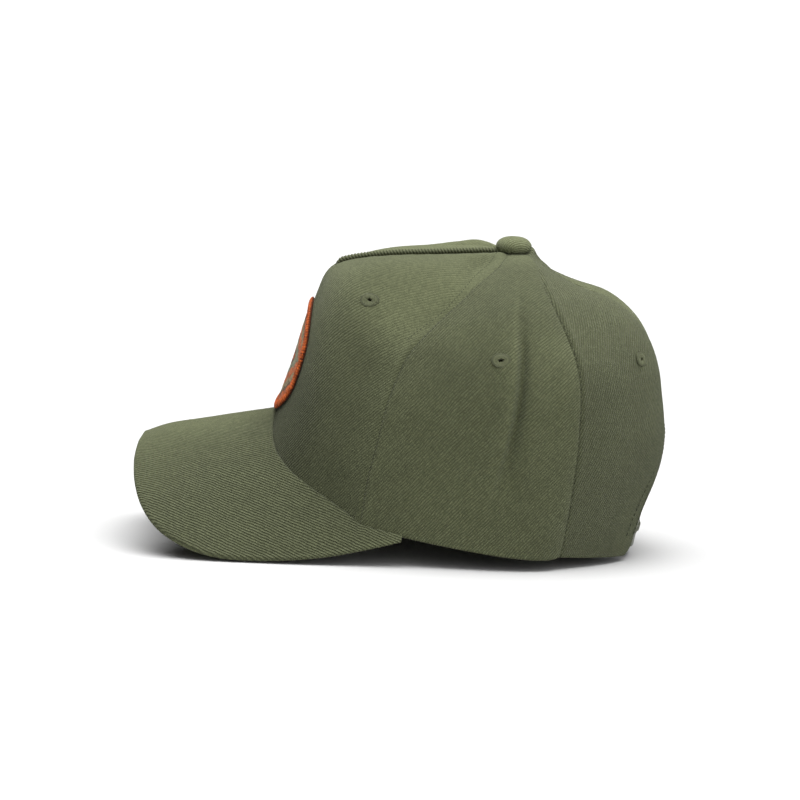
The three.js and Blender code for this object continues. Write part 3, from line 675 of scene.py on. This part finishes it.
def panel_piece(panel, side, u, t, material):
    """Closed shell of cloth with its folds, seams and hem; returns its outer face as on the left half."""
    relief, paint = CLOTH[panel]
    point, _ = crown(u, t, panel)
    turn = seam_normals(u, t, panel)
    across, down = run_along(point, 1), run_along(point)
    first, last = across, across[:, -1:] - across
    rim = hem(down[-1:] - down)
    if panel == BACK:
        free = ramp(3 - u[:, -1:], 0.0005, 0.02)
        rim = np.maximum(rim, hem(last) * free)
        last = last + 40 * free
    height = relief(u, t, first, last, point, side)
    outer = point + turn * (height - rim)[..., None]
    points, faces, _ = shell(outer, point + turn * (rim - WALL)[..., None])
    faces = with_holes(points, faces, u.size, eyelet_spots(panel))
    flat = front_flat(u, t) if panel == FRONT else panel_flat(panel, side, u, t)
    word = PANEL_NAMES[panel]
    hand = "" if panel == FRONT else "_" + dict(HANDS)[side]
    add_piece(
        f"{word}_cloth{hand}", (mirrored(points, side), faces, []), flat,
        material, "twill", f"{word}_panel{hand}", colours=painted(*paint(u, t, side)),
    )
    return outer


def arch_measure(x, z):
    """Below 1 inside the arched opening, whose lower corners are rounded outward."""
    corner = 8
    foot = np.clip(corner - z, 0, corner - 0.5)
    half = ARCH["half_width"] + corner - np.sqrt(corner**2 - foot**2)
    height = np.clip((z - ARCH["spring"]) / (ARCH["top"] - ARCH["spring"]), 0, None)
    return (abs(x) / half) ** ARCH["power"] + height ** ARCH["power"]


def arch_columns(t, count):
    """Columns of the back panel that end at the arch, row by row."""
    u = np.linspace(*BACK, 400)
    point, _ = crown(u[None, :], t[:, None], BACK)
    ends = []
    for row in arch_measure(point[..., 0], point[..., 2]):
        k = np.argmax(row < 1)
        ends.append(np.interp(1, [row[k], row[k - 1]], [u[k], u[k - 1]]) if k else 3)
    return 2 + eased(count)[None, :] * (np.array(ends)[:, None] - 2)


def back_rows():
    """Rows of the back panel, close together at the top of the arch and at the lower edge."""
    t = np.linspace(0.4, 0.9, 500)
    top = np.interp(-ARCH["top"], -LINES[BACK][-1](t)[:, 2], t)
    below = top + (1 - top) * np.linspace(0, 1, 76)[1:-1] ** 1.6
    return np.concatenate([eased(100) * top, below[below < 0.993], [0.994, 0.9965, 0.9985, 1]])


def build_crown(twill, back_twill):
    """The five panels; returns their outer faces for what is sewn on them."""
    u, t = np.meshgrid(2 * eased(170, 0.35) - 1, eased(230))
    faces = {"front": panel_piece(FRONT, 1, u, t, twill)}
    for side, hand in HANDS:
        u, t = np.meshgrid(1 + eased(126, 0.3), eased(190))
        faces["side_" + hand] = panel_piece(SIDE, side, u, t, twill)
        rows = back_rows()
        u = arch_columns(rows, 84)
        t = np.broadcast_to(rows[:, None], u.shape)
        faces["back_" + hand] = panel_piece(BACK, side, u, t, back_twill)
    return faces


# Tubes, threads and stitches
def tube(path, side, up, half_width, half_height, turn):
    """Rings swept along a path; the two half sizes vary along it and around it."""
    wide = side[:, None] * (np.cos(turn) * half_width)[..., None]
    high = up[:, None] * (np.sin(turn) * half_height)[..., None]
    return path[:, None] + wide + high


def evenly(path, pitch, closed=False):
    """Points at an even pitch along a path, the direction there and the distance run."""
    if closed:
        path = np.vstack([path, path[:1]])
    run = run_along(path)
    at = np.linspace(0, run[-1], max(int(run[-1] / pitch), 2), endpoint=not closed)
    return at_run(at, run, path), unit(at_run(at, run, np.gradient(path, run, axis=0))), at


def respaced(values, run):
    """Values from the points of a path, evenly spread over its new points."""
    return at_run(run / run[-1], np.linspace(0, 1, len(values)), values)


def threads(centres, along, up, size):
    """Many short stitches as one body: each is a thread that rises from the cloth and dips back."""
    share = np.array([-1, -0.82, -0.4, 0.4, 0.82, 1])
    radius = size["radius"] * np.sqrt(1 - share**2) + 0.02
    lift = 0.1 * (1 - share**2)
    turn = circle(6)[:, None]
    side = unit(np.cross(up, along))
    reach = share * size["length"] / 2
    spine = centres[:, None] + along[:, None] * reach[:, None] + up[:, None] * lift[:, None]
    ring = side[:, None] * np.cos(turn) + up[:, None] * np.sin(turn)
    return ring_bodies(spine[:, :, None] + ring[:, None] * radius[:, None, None])


def offset_line(grid, distance):
    """Line on a grid of points that keeps a distance from its first column."""
    return np.array([at_run(distance, run, row) for run, row in zip(run_along(grid, 1), grid)])


def out_of_head(points, direction):
    """Direction flipped where it points into the head."""
    middle = np.array([0, 35, 70])
    return direction * np.sign((direction * (points - middle)).sum(-1, keepdims=True))


def stitch_row(name, grid, distance, start, end, side, material):
    """Row of stitches along a seam, at a distance from it; start and end are shares of the grid's rows."""
    rows = grid[int(start * len(grid)) : int(end * len(grid))]
    near, far = offset_line(rows, distance - 0.6), offset_line(rows, distance + 0.6)
    place, along, _ = evenly((near + far) / 2, STITCH["pitch"])
    other, _, _ = evenly(far, STITCH["pitch"])
    count = min(len(place), len(other))
    place, along = place[:count], along[:count]
    up = out_of_head(place, unit(np.cross(along, other[:count] - place)))
    points, faces, caps = threads(place + up * 0.03, along, up, STITCH)
    add_piece(name, (mirrored(points, side), faces, caps), points[:, 1:], material, "twill")


def build_seam_stitches(faces, thread):
    for side, hand in HANDS:
        stitch_row(f"front_seam_stitches_{hand}", faces["side_" + hand], 0.6, 0.07, 0.6, side, thread)
        stitch_row(f"back_seam_stitches_{hand}", faces["back_" + hand], 0.6, 0.2, 0.96, side, thread)
        from_seam = faces["front"][:, ::-side]
        stitch_row(f"front_top_stitches_{hand}", from_seam, 5.6, 0.08, 0.48, 1, thread)


# Raised seam on top, button, eyelets
def build_dart(cord):
    """Corded seam along the top of the front, a roll with slanting ribs."""
    t = np.linspace(DART["start"], DART["end"], 240)
    point, up = crown(np.zeros_like(t), t, FRONT)
    lift = 0.75 - 1.1 * ramp(t, DART["end"] - 0.026, DART["end"])
    path, _, run = evenly(point + up * lift[:, None], 0.2)
    turn = circle(18)
    phase = 2 * np.pi * run[:, None] / DART["pitch"] - 3.2 * np.sin(turn)
    rib = 1 + 0.14 * np.cos(phase) - 0.06 * np.cos(phase) ** 2
    size = rib * np.minimum(1, np.sqrt(np.clip((run[-1] - run) / 4.5, 0.004, 1)))[:, None]
    side = np.tile([1, 0, 0], (len(path), 1))
    rings = tube(path, side, respaced(up, run), DART["width"] / 2 * size, DART["height"] * 0.7 * size, turn)
    flat = pairs(run[:, None], turn * 1.6)
    # Painted light and shade: lighter on the crests of the ribs and darker in the grooves between them
    colours = (1.02 + 0.42 * np.cos(phase))[..., None] * OLIVE
    add_piece("dart_roll", ring_body(rings), flat, cord, "twill", "dart_seam", colours=colours)


def button_profile():
    """Radius and height of the covered button from the middle of its top to under its edge."""
    rise = BUTTON["top"] - BUTTON["under"]
    angle = np.linspace(np.pi / 2, -1.05, 44)
    radius = BUTTON["radius"] * np.cos(angle) ** np.where(angle > 0, 0.82, 0.55)
    height = BUTTON["under"] + rise * (0.32 + np.where(angle > 0, 0.68, 0.5) * np.sin(angle))
    return np.maximum(radius, 0.02), height


def build_button(twill):
    """Cloth-covered button with small pleats where the cover is drawn in under its edge."""
    radius, height = button_profile()
    turn = circle(96)
    drop = ramp(BUTTON["top"] - height, 4.2, 8.5)[:, None]
    ring = radius[:, None] * (1 + 0.018 * np.cos(13 * turn) * drop)
    tall = np.broadcast_to(height[:, None], ring.shape)
    points = np.stack([ring * np.cos(turn), ring * np.sin(turn) + BUTTON["y"], tall], -1)
    arc = run_along(np.stack([radius, height], -1))[:, None]
    weave = turn - math.radians(28)
    flat = pairs(arc * np.cos(weave), arc * np.sin(weave))
    # Painted light: the whole cover is lightened to 1.5 times the cloth, for light on its undercut lower half
    colours = np.full((ring.size, 3), 1.5)
    add_piece("button_cover", ring_body(points), flat, twill, "twill", "top_button", colours=colours)


def eyelet_section():
    """Closed section of a stitched eyelet: radius and height above the cloth."""
    outer, hole, barrel, height = (EYELET[size] for size in ("outer", "hole", "barrel", "height"))
    deep = -WALL - 0.55
    return np.array([
        (hole, -0.2), (hole + 0.12, 0.35), (hole + 0.6, height * 0.85), (hole + 1.3, height),
        (outer - 1.3, height * 0.9), (outer - 0.55, height * 0.62), (outer - 0.1, 0.28), (outer, -0.15),
        (outer - 0.3, -0.4), (barrel, -0.3), (barrel, deep + 0.4), (outer - 1.2, deep + 0.3),
        (outer - 1, deep), (barrel, deep - 0.2), (hole + 0.2, deep), (hole, deep + 0.5),
    ])


def build_eyelet(panel, side, hand, thread):
    """Buttonhole-stitched eyelet with radial threads and a ragged hole."""
    u, t = EYELETS[panel]
    point, up = crown(u, t, panel)
    stitches = 36
    turn = circle(216)
    radius, height = np.split(eyelet_section(), 2, axis=1)
    top, outer, inner = height > 0.2, radius > 4, radius < 2
    wave = 0.5 + 0.5 * np.cos(stitches * turn + 0.6 * np.sin(5 * turn + u))
    uneven = 1 + 0.03 * np.sin(3 * turn + 7 * u) + 0.02 * np.sin(11 * turn + side) + 0.022 * wave
    ragged = 1 + 0.22 * np.sin(2 * turn + 5 * u) + 0.2 * np.sin(5 * turn + 3 * side) + 0.08 * wave
    reach = radius * np.where(outer, uneven, np.where(inner, ragged, 1))
    lift = height + np.where(top, 0.12 * (wave - 0.5), 0) + 0.1
    # Tone of the thread: the stitches show by the wave and the top is lighter; painted shade darkens the
    # hole, the barrel, the underside and the outer edge of the top
    tone = np.where(top, 1.15 + 0.15 * wave, 0.55 + 0.35 * wave) * (1 - 0.25 * (outer & top))
    rings = point + spokes(up, turn, EYELET["oval"]) * reach[..., None] + up * lift[..., None]
    flat = pairs(turn * 3, radius)
    word = PANEL_NAMES[panel] + "_" + hand
    add_piece(
        "eyelet_thread_" + word, ring_body(mirrored(rings, side), closed=True), flat,
        thread, "eyelet_thread", "eyelet_" + word, colours=tone[..., None] * OLIVE,
    )


# Peak
def crown_either(u, t):
    """Crown point and normal for columns that run from the front panel on to the side panel."""
    front, front_up = crown(np.minimum(u, 1), t, FRONT)
    rear, rear_up = crown(np.maximum(u, 1), t, SIDE)
    over = (u > 1)[..., None]
    return np.where(over, rear, front), np.where(over, rear_up, front_up)


def peak_grids(a, reach):
    """Upper face of the peak, the way down through it, and its thickness: a runs from its middle to its
    corner, reach from the seam outward."""
    u = abs(a) * PEAK["ends"]
    near_corner = ramp(abs(a), 0.6, 1)
    seam, out = crown_either(u, PEAK["seam"] + (PEAK["corner"] - PEAK["seam"]) * near_corner)
    low, low_out = crown_either(u, np.ones_like(u))
    foot = seam + out * PEAK["gap"]
    down = unit(low + low_out * PEAK["gap"] - foot)
    rim = PEAK_LINE(abs(a) ** 0.93)
    thickness = PEAK["thickness"] + (PEAK["tip"] - PEAK["thickness"]) * near_corner
    lean = np.minimum(abs(a) * 1.25, 1) * np.pi / 2 * 0.9
    edge_turn = np.stack([-np.sin(lean), np.zeros_like(lean), -np.cos(lean)], -1)
    r = reach[None, :, None]
    top = foot[:, None] * (1 - r) + rim[:, None] * r
    drop = 1.6 * np.clip((reach - 0.8) / 0.2, 0, 1) ** 2
    swelling = 0.7 * bell(reach, 0.76, 0.15) - drop
    top[..., 2] += 0.6 * np.sin(np.pi * reach) + bell(a, 0, 0.3)[:, None] * swelling
    blend = ramp(r, 0, 0.3)
    turn = unit(edge_turn[:, None] * blend + down[:, None] * (1 - blend))
    side = hand_of(a)[:, None]
    return mirrored(top, side), mirrored(turn, side), thickness[:, None]


def build_peak(twill):
    """Cloth-covered curved peak with a round edge and a thin rolled seam along it."""
    a = 2 * eased(300, 0.2) - 1
    even = 0.02 + 0.94 * np.linspace(0, 1, 58)[1:]
    reach = np.concatenate([[0, 0.004, 0.01, 0.02], even, [0.975, 0.985, 0.992, 0.997, 1]])
    top, turn, thickness = peak_grids(a, reach)
    across = run_along(top, 1)
    outer_run = across[:, -1:] - across
    radius = thickness / 2
    edge = radius - np.sqrt(np.maximum(radius**2 - (radius - np.minimum(outer_run, radius)) ** 2, 0))
    seam_edge = 0.9 * bell(across, 0, 0.8)
    roll = 0.16 * bell(outer_run, 1.9, 0.9) - 0.12 * bell(outer_run, 3.6, 0.6)
    soft = 0.22 * ripple(top, 40, 31) * ramp(outer_run, 2, 12)
    outer = top + turn * (edge * 0.92 + seam_edge - roll - soft)[..., None]
    inner = top + turn * (thickness - edge * 0.92)[..., None]
    coarse_top, _, _ = peak_grids(np.linspace(-1, 1, 61), np.linspace(0, 1, 19))
    layout = pattern(coarse_top, (0.8, 0.5), -27)
    flat = resample(layout, *np.broadcast_arrays((a[:, None] + 1) / 2, reach))
    centre = abs(a)[:, None]
    # Painted light: the peak is lightened overall, more across the middle of the nose and at its corners
    tone = 1.12 + 0.28 * bell(centre, 0, 0.2) * ramp(reach, 0.05, 0.3) + 0.15 * ramp(centre, 0.85, 1)
    colours = painted(tone, 1.35 - 0.85 * bell(centre, 0, 0.16))
    add_piece("peak_cloth", shell(outer, inner), flat, twill, "twill", "peak", colours=colours)


# Badge
def badge_outline(angle, inset):
    """Rounded shield, widest below its middle, as x and height above its widest line."""
    c, s = np.cos(angle), np.sin(angle)
    power = 2 / np.where(s > 0, PATCH_POWER["up"], PATCH_POWER["down"])
    reach = np.where(s > 0, PATCH["up"], PATCH["down"]) - inset
    return powered(c, power) * (PATCH["half_width"] - inset), powered(s, power) * reach


def build_badge_border(thread):
    """Thick overlocked edge of the badge, slanting threads round a core."""
    pitch = 0.22
    x, z = badge_outline(circle(720), PATCH["border"] / 2)
    outline, _, _ = evenly(np.stack([x, 0 * x, z], -1), pitch, closed=True)
    point, up = on_front(outline[:, 0], outline[:, 2] + PATCH["widest"])
    count = len(point)
    side = unit(np.cross(unit(np.roll(point, -1, axis=0) - np.roll(point, 1, axis=0)), up))
    run = np.arange(count) * pitch
    turn = circle(18)
    phase = 2 * np.pi * round(run[-1] / 1.35) * np.arange(count)[:, None] / count + 0.9 * np.cos(turn)
    bulge = 1 + 0.085 * np.cos(phase) * (0.7 + 0.3 * np.sin(turn))
    path = point + up * (PATCH["lift"] + 0.95)
    rings = tube(path, side, up, PATCH["border"] / 2 * bulge, 1.15 * bulge, turn)
    flat = pairs(run[:, None], turn * 1.5)
    each = np.sin(37.7 * np.floor(phase / (2 * np.pi))) * 0.18
    flecks = 1.1 * ripple(rings, 0.9, 5) + 0.4 * ripple(rings, 5, 9)
    # Painted light and shade: the top of the edge is lighter and its underside darker, and the dips between
    # the thread loops are darker; the changes from loop to loop and the flecks are the thread's own
    tone = (0.95 + 0.22 * np.cos(phase) + each) * (0.42 + 0.73 * ramp(np.sin(turn), 0, 0.6))
    colours = np.clip(tone * (1 + flecks), 0.15, 1.9)[..., None] * BADGE_EDGE
    body = ring_body(rings, closed=True)
    add_piece("badge_edge", body, flat, thread, "border_thread", "patch_border", colours=colours)


def badge_design(x, z):
    """Colour, relief and stitch direction of nested lozenges with a notched outline."""
    notch = 5 * np.abs(((x / 9) % 1) - 0.5)
    reach = (abs(x) * 0.4 + abs(z) * 0.98 + notch) % BADGE_BANDS[-1][0]
    colours = np.zeros((*x.shape, 3))
    lean, relief = np.zeros_like(x), np.zeros_like(x)
    start = 0
    for end, colour, angle in BADGE_BANDS:
        inside = (reach >= start) & (reach < end)
        colours[inside] = colour
        lean[inside] = math.radians(angle)
        relief[inside] = 0.28 * ramp(np.minimum(reach - start, end - reach)[inside], -0.1, 1.1)
        start = end
    return colours, relief, lean


def build_badge_face(thread):
    """Embroidered face: satin-stitched bands of a plain geometric design."""
    count, rings = 420, 58
    share = np.linspace(0.004, 1, rings)[:, None]
    x, z = ((share * part).ravel() for part in badge_outline(circle(count), PATCH["border"] - 0.7))
    point, up = on_front(x, z + PATCH["widest"])
    colours, relief, lean = badge_design(x, z - 6)
    colours = colours * (1 + 0.5 * ripple(point, 1.6, 4) + 0.3 * ripple(point, 6, 8))[:, None]
    outward_share = np.repeat(share.ravel(), count)
    height = 0.55 + (0.35 + relief) * ramp(outward_share, 1, 0.93) + 0.1 * (1 - outward_share**2)
    under = point + up * PATCH["lift"]
    total = rings * count
    ring = np.arange(count)
    rim = np.stack([total - count + ring, total - count + (ring + 1) % count], -1)
    walls = np.hstack([rim, rim[:, ::-1] + total])
    face = quads(rings, count, wrap=True)
    faces = np.vstack([face, face[:, ::-1] + total, walls])
    body = np.vstack([under + up * height[:, None], under]), faces, [ring, (ring + total)[::-1]]
    flat = pairs(x * np.cos(lean) + z * np.sin(lean), z * np.cos(lean) - x * np.sin(lean))
    add_piece("badge_stitching", body, flat, thread, "patch_thread", "patch_face", colours=colours)


# Strap and stitches of the back opening
def build_band(name, side, lift, plastic):
    """One half of the strap, a smooth moulded band with rounded edges; lift is its step over the other."""
    steps, around = 160, 28
    x = np.linspace(side * STRAP["half_length"], -side * STRAP["lap"], steps)
    turn = circle(around)
    to_end = STRAP["lap"] - abs(x)
    tip = np.sqrt(np.clip(1 - (to_end < 6) * ((6 - to_end) / 6.3) ** 4, 0.05, 1))
    across, through = powered(np.sin(turn), 0.28), powered(np.cos(turn), 0.28)
    z = STRAP["bottom"] + STRAP["width"] / 2 + across * STRAP["width"] / 2 * tip[:, None]
    point, up = on_back(np.repeat(x, around), z.ravel())
    inset = WALL + STRAP["inset"] + STRAP["thickness"] / 2 + lift * ramp(x, -37, -29)
    depth = inset[:, None] + through * STRAP["thickness"] / 2
    points = (point - up * depth.reshape(-1, 1)).reshape(steps, around, 3)
    add_piece(name, ring_body(points), pairs(x[:, None], z), plastic, "strap_plastic", "snap_strap")


def build_snaps(plastic):
    """Row of round snaps in the middle of the strap."""
    radius, height = np.split(SNAP_SECTION * [SNAPS["radius"], SNAPS["height"]], 2, axis=1)
    snaps = []
    for i in range(SNAPS["count"]):
        x = np.array((i - (SNAPS["count"] - 1) / 2) * SNAPS["pitch"])
        point, up = on_back(x, np.array(STRAP["bottom"] + STRAP["width"] / 2))
        foot = point - up * (WALL + STRAP["inset"])
        snaps.append(foot + spokes(up, circle(40)) * radius[..., None] + up * height[..., None])
    body = ring_bodies(np.array(snaps))
    add_piece("strap_snaps", body, body[0][:, ::2], plastic, "strap_plastic", "snap_strap")


def arch_line(offset):
    """Outline of the arched opening moved outward, with the face's normal there."""
    angle = np.linspace(0.06, np.pi - 0.06, 160)
    power = 2 / ARCH["power"]
    x = powered(np.cos(angle), power) * (ARCH["half_width"] + offset)
    z = ARCH["spring"] + powered(np.sin(angle), power) * (ARCH["top"] - ARCH["spring"] + offset)
    return on_back(x, z)


def build_arch_stitches(thread):
    """Two rows of stitches round the opening."""
    for i, offset in enumerate((2.6, 8.6)):
        point, up = arch_line(offset)
        place, along, run = evenly(point + up * 0.12, ARCH_STITCH["pitch"])
        body = threads(place, along, unit(respaced(up, run)), ARCH_STITCH)
        add_piece(f"arch_stitches_{i + 1}", body, body[0][:, ::2], thread, "twill")


# Materials and light
class Shade:
    """Short way to write the nodes of a material or of the world; most functions return an output."""

    def __init__(self, owner):
        owner.use_nodes = True
        self.owner = owner
        self.tree = owner.node_tree

    def fill(self, node, inputs):
        """Sets or links a node's inputs, given in order, by number or by name."""
        for key, value in inputs.items() if isinstance(inputs, dict) else enumerate(inputs):
            if isinstance(value, bpy.types.NodeSocket):
                self.tree.links.new(value, node.inputs[key])
            else:
                node.inputs[key].default_value = value

    def node(self, kind, inputs=(), **settings):
        made = self.tree.nodes.new("ShaderNode" + kind)
        for name, setting in settings.items():
            setattr(made, name, setting)
        self.fill(made, inputs)
        return made

    def maths(self, operation, *values):
        return self.node("Math", values, operation=operation).outputs[0]

    def add(self, first, *others):
        for other in others:
            first = self.maths("ADD", first, other)
        return first

    def times(self, first, second):
        return self.maths("MULTIPLY", first, second)

    def nearest(self, value):
        """Whole number nearest to a value."""
        return self.maths("FLOOR", self.add(value, 0.5))

    def centred(self, value, size):
        """Value from 0 to 1 turned into one round 0 of the given size."""
        return self.times(self.maths("SUBTRACT", value, 0.5), size)

    def noise(self, place, scale, detail=2, rough=0.5):
        inputs = {"Vector": place, "Scale": scale, "Detail": detail, "Roughness": rough}
        return self.node("TexNoise", inputs).outputs["Fac"]

    def speckle(self, a, b):
        """Random value for each whole pair of numbers."""
        cell = self.node("CombineXYZ", [a, b]).outputs[0]
        return self.node("TexWhiteNoise", {"Vector": cell}, noise_dimensions="2D").outputs["Value"]

    def blend(self, share, first, second, mode="MIX"):
        made = self.node("Mix", data_type="RGBA", blend_type=mode)
        self.fill(made, {0: share, 6: first, 7: second})
        return made.outputs[2]

    def toned(self, colour, tone):
        """Colour multiplied by a number."""
        return self.blend(1, colour, self.node("CombineXYZ", [tone, tone, tone]).outputs[0], "MULTIPLY")

    def remap(self, value, low, high, start=0, end=1):
        return self.node("MapRange", [value, start, end, low, high]).outputs[0]

    def wave(self, turns):
        """Wave from 0 to 1 that has its crest at whole turns."""
        return self.maths("MULTIPLY_ADD", self.maths("COSINE", self.times(turns, 2 * math.pi)), 0.5, 0.5)

    def in_millimetres(self, place):
        return self.node("VectorMath", {0: place, "Scale": 1 / MM}, operation="SCALE").outputs[0]

    def axis(self, place, number):
        """One of the three numbers of a place."""
        return self.node("SeparateXYZ", [place]).outputs[number]

    def flat_place(self):
        """Place on the flat cloth, as a vector and as its two numbers."""
        place = self.in_millimetres(self.node("UVMap", uv_map="cloth").outputs[0])
        return place, self.axis(place, 0), self.axis(place, 1)

    def space(self):
        """Place in the room."""
        return self.in_millimetres(self.node("TexCoord").outputs["Object"])

    def painted(self):
        """Colour painted on the mesh, and the strength painted with it."""
        layer = self.node("Attribute", attribute_name="paint")
        return layer.outputs["Color"], layer.outputs["Alpha"]

    def finish(self, colour, height, depth, rough, **uniform):
        """Feeds the shader; depth is the relief in millimetres."""
        bump = self.node("Bump", {"Height": height, "Distance": depth * MM, "Strength": 1})
        inputs = {"Base Color": colour, "Roughness": rough, "Normal": bump.outputs[0]}
        inputs |= {name.replace("_", " "): value for name, value in uniform.items()}
        self.fill(self.tree.nodes["Principled BSDF"], inputs)
        return self.owner


def new_shade(name):
    return Shade(bpy.data.materials.new(name))


def rgba(colour, scale=1):
    return (*[part * scale for part in colour], 1)


def twill_material(name, depth):
    """Olive cotton twill: slanting ribs of yarn floats, heathered yarn, soft changes of tone, and painted
    shade in the grooves between the ribs that fades higher up.
    """
    s = new_shade(name)
    place, across, along = s.flat_place()
    room = s.space()
    sway, drift = s.centred(s.noise(place, 0.35), 0.45), s.centred(s.noise(place, 0.06), 2.2)
    turns = s.maths("DIVIDE", s.add(across, sway, drift), RIB_PITCH)
    row = s.nearest(turns)
    float_turns = s.add(s.maths("DIVIDE", along, FLOAT_PITCH), s.times(row, 0.37))
    heather = s.speckle(row, s.nearest(float_turns))
    fibre = s.noise(place, 5, 3, 0.6)
    worn = s.remap(s.noise(place, 0.22, 3, 0.6), 0.65, 1.15, 0.3, 0.7)
    crest = s.times(s.maths("POWER", s.wave(turns), 0.75), worn)
    yarn = s.maths("MULTIPLY_ADD", s.wave(float_turns), 0.25, s.remap(heather, 0.6, 0.85))
    paint, strength = s.painted()
    relief = s.maths("SUBTRACT", s.times(crest, yarn), 0.35)
    height = s.add(s.maths("MULTIPLY_ADD", relief, strength, 0.35), s.centred(fibre, 0.4))
    cloud = s.remap(s.noise(room, 0.03, 3), -0.05, 0.05, 0.3, 0.7)
    patches = s.remap(s.noise(place, 1.3, 3), 0.88, 1.12, 0.3, 0.7)
    tone = s.times(s.add(s.remap(heather, 0.87, 1.13), cloud), patches)
    # Painted shade: the grooves take the darker olive, which gives way to the plain olive higher up the cap
    # as painted light from above
    lit = s.remap(s.axis(room, 2), 0, 0.75, 75, 135)
    groove_shade = s.blend(lit, rgba(OLIVE_GROOVE_SHADE), rgba(OLIVE))
    colour = s.toned(s.blend(s.remap(height, 0, 1, 0.1, 0.9), groove_shade, rgba(OLIVE)), tone)
    return s.finish(
        s.blend(1, colour, paint, "MULTIPLY"), height, depth, s.remap(fibre, 0.82, 0.98),
        Specular_IOR_Level=0.12, Sheen_Weight=0.1, Sheen_Roughness=0.5, Sheen_Tint=(0.9, 0.95, 0.75, 1),
    )


def thread_material(name, colour=None, ply=0.3, shine=0.2):
    """Sewing or embroidery thread: fine plies, uneven colour; without a colour it is the mesh's own."""
    s = new_shade(name)
    place, across, along = s.flat_place()
    fine = s.wave(s.maths("DIVIDE", s.add(along, s.times(across, 0.18)), ply))
    each = s.speckle(s.maths("FLOOR", s.maths("DIVIDE", along, ply)), 3)
    fuzz = s.noise(place, 4, 3, 0.6)
    tone = s.times(s.add(s.remap(each, 0.8, 1.14), s.remap(fuzz, -0.14, 0.14)), s.remap(fine, 0.8, 1.05))
    return s.finish(
        s.toned(rgba(colour) if colour else s.painted()[0], tone),
        s.add(fine, s.times(fuzz, 0.5)), 0.09, s.remap(fuzz, 0.55, 0.75),
        Specular_IOR_Level=shine, Sheen_Weight=0.04, Sheen_Roughness=0.4,
    )


def plastic_material():
    """Moulded olive plastic with a faint grain and handling marks."""
    s = new_shade("strap_plastic")
    room = s.space()
    cloud = s.noise(room, 0.12)
    colour = s.blend(s.remap(cloud, 0, 1, 0.3, 0.7), rgba(OLIVE, 0.62), rgba(OLIVE, 0.74))
    return s.finish(colour, s.noise(room, 2.5, 3), 0.02, s.remap(cloud, 0.34, 0.48), Specular_IOR_Level=0.45)


def floor_material():
    """White paper floor."""
    s = new_shade("floor_paper")
    fibre = s.noise(s.space(), 0.4)
    colour = s.blend(fibre, (0.47, 0.47, 0.47, 1), (0.49, 0.49, 0.49, 1))
    return s.finish(colour, fibre, 0.01, 0.95, Specular_IOR_Level=0.1)


# Surroundings
def build_floor():
    bpy.ops.mesh.primitive_circle_add(vertices=96, radius=14, fill_type="NGON", location=(0, 0, -0.0004))
    floor = bpy.context.object
    floor.name = "floor"
    floor.data.materials.append(floor_material())


def build_world():
    """Lights of the sky, each a soft step between two brightnesses by the cosine from its direction."""
    world = bpy.data.worlds.new("studio")
    bpy.context.scene.world = world
    s = Shade(world)
    place = s.node("TexCoord").outputs["Generated"]
    total = 0
    for direction, stops in SKY:
        cosine = s.node("VectorMath", [place, Vector(direction).normalized()], operation="DOT_PRODUCT")
        light = s.node("MapRange", [cosine.outputs["Value"], *stops], interpolation_type="SMOOTHSTEP")
        total = s.add(light.outputs[0], total)
    s.fill(s.tree.nodes["Background"], {"Color": (1, 1, 1, 1), "Strength": total})


def build_camera():
    """Camera at the photograph's angle: far off to the left, slightly above, rolled a little."""
    data = bpy.data.cameras.new("camera")
    camera = add_object("camera", data)
    rise = math.radians(CAMERA["elevation"])
    level = Euler((math.pi / 2 - rise, 0, math.pi / 2)).to_matrix()
    turn = level @ Matrix.Rotation(math.radians(CAMERA["roll"]), 3, "Z")
    back = Vector((math.cos(rise), 0, math.sin(rise)))
    spot = (Vector(SHIFT + CAMERA["target"]) + back * CAMERA["distance"]) * MM
    camera.matrix_world = Matrix.Translation(spot) @ turn.to_4x4()
    data.sensor_width = SENSOR
    data.lens = SENSOR * CAMERA["distance"] / (CAMERA["scale"] * PHOTO_SIZE)
    data.clip_start = 0.05
    data.clip_end = 60
    bpy.context.scene.camera = camera


def build_cap():
    twill = twill_material("olive_twill", 0.5)
    board_twill = twill_material("olive_twill_on_board", 0.9)
    back_twill = twill_material("olive_twill_back", 0.85)
    seam_thread_with_shade = thread_material("seam_thread_with_shade", SEAM_THREAD_WITH_SHADE)
    build_seam_stitches(build_crown(twill, back_twill), seam_thread_with_shade)
    build_arch_stitches(seam_thread_with_shade)
    build_dart(thread_material("corded_twill", ply=0.45, shine=0.15))
    build_button(twill)
    eyelet_thread = thread_material("eyelet_thread")
    for panel in EYELETS:
        for side, hand in HANDS:
            build_eyelet(panel, side, hand, eyelet_thread)
    build_peak(board_twill)
    build_badge_border(thread_material("badge_edge_thread", ply=0.4, shine=0.1))
    build_badge_face(thread_material("badge_thread"))
    plastic = plastic_material()
    build_band("strap_band_left", 1, 0, plastic)
    build_band("strap_band_right", -1, STRAP["thickness"] + 0.15, plastic)
    build_snaps(plastic)


build_cap()
build_floor()
build_world()
build_camera()
bpy.context.scene.view_settings.view_transform = "Standard"
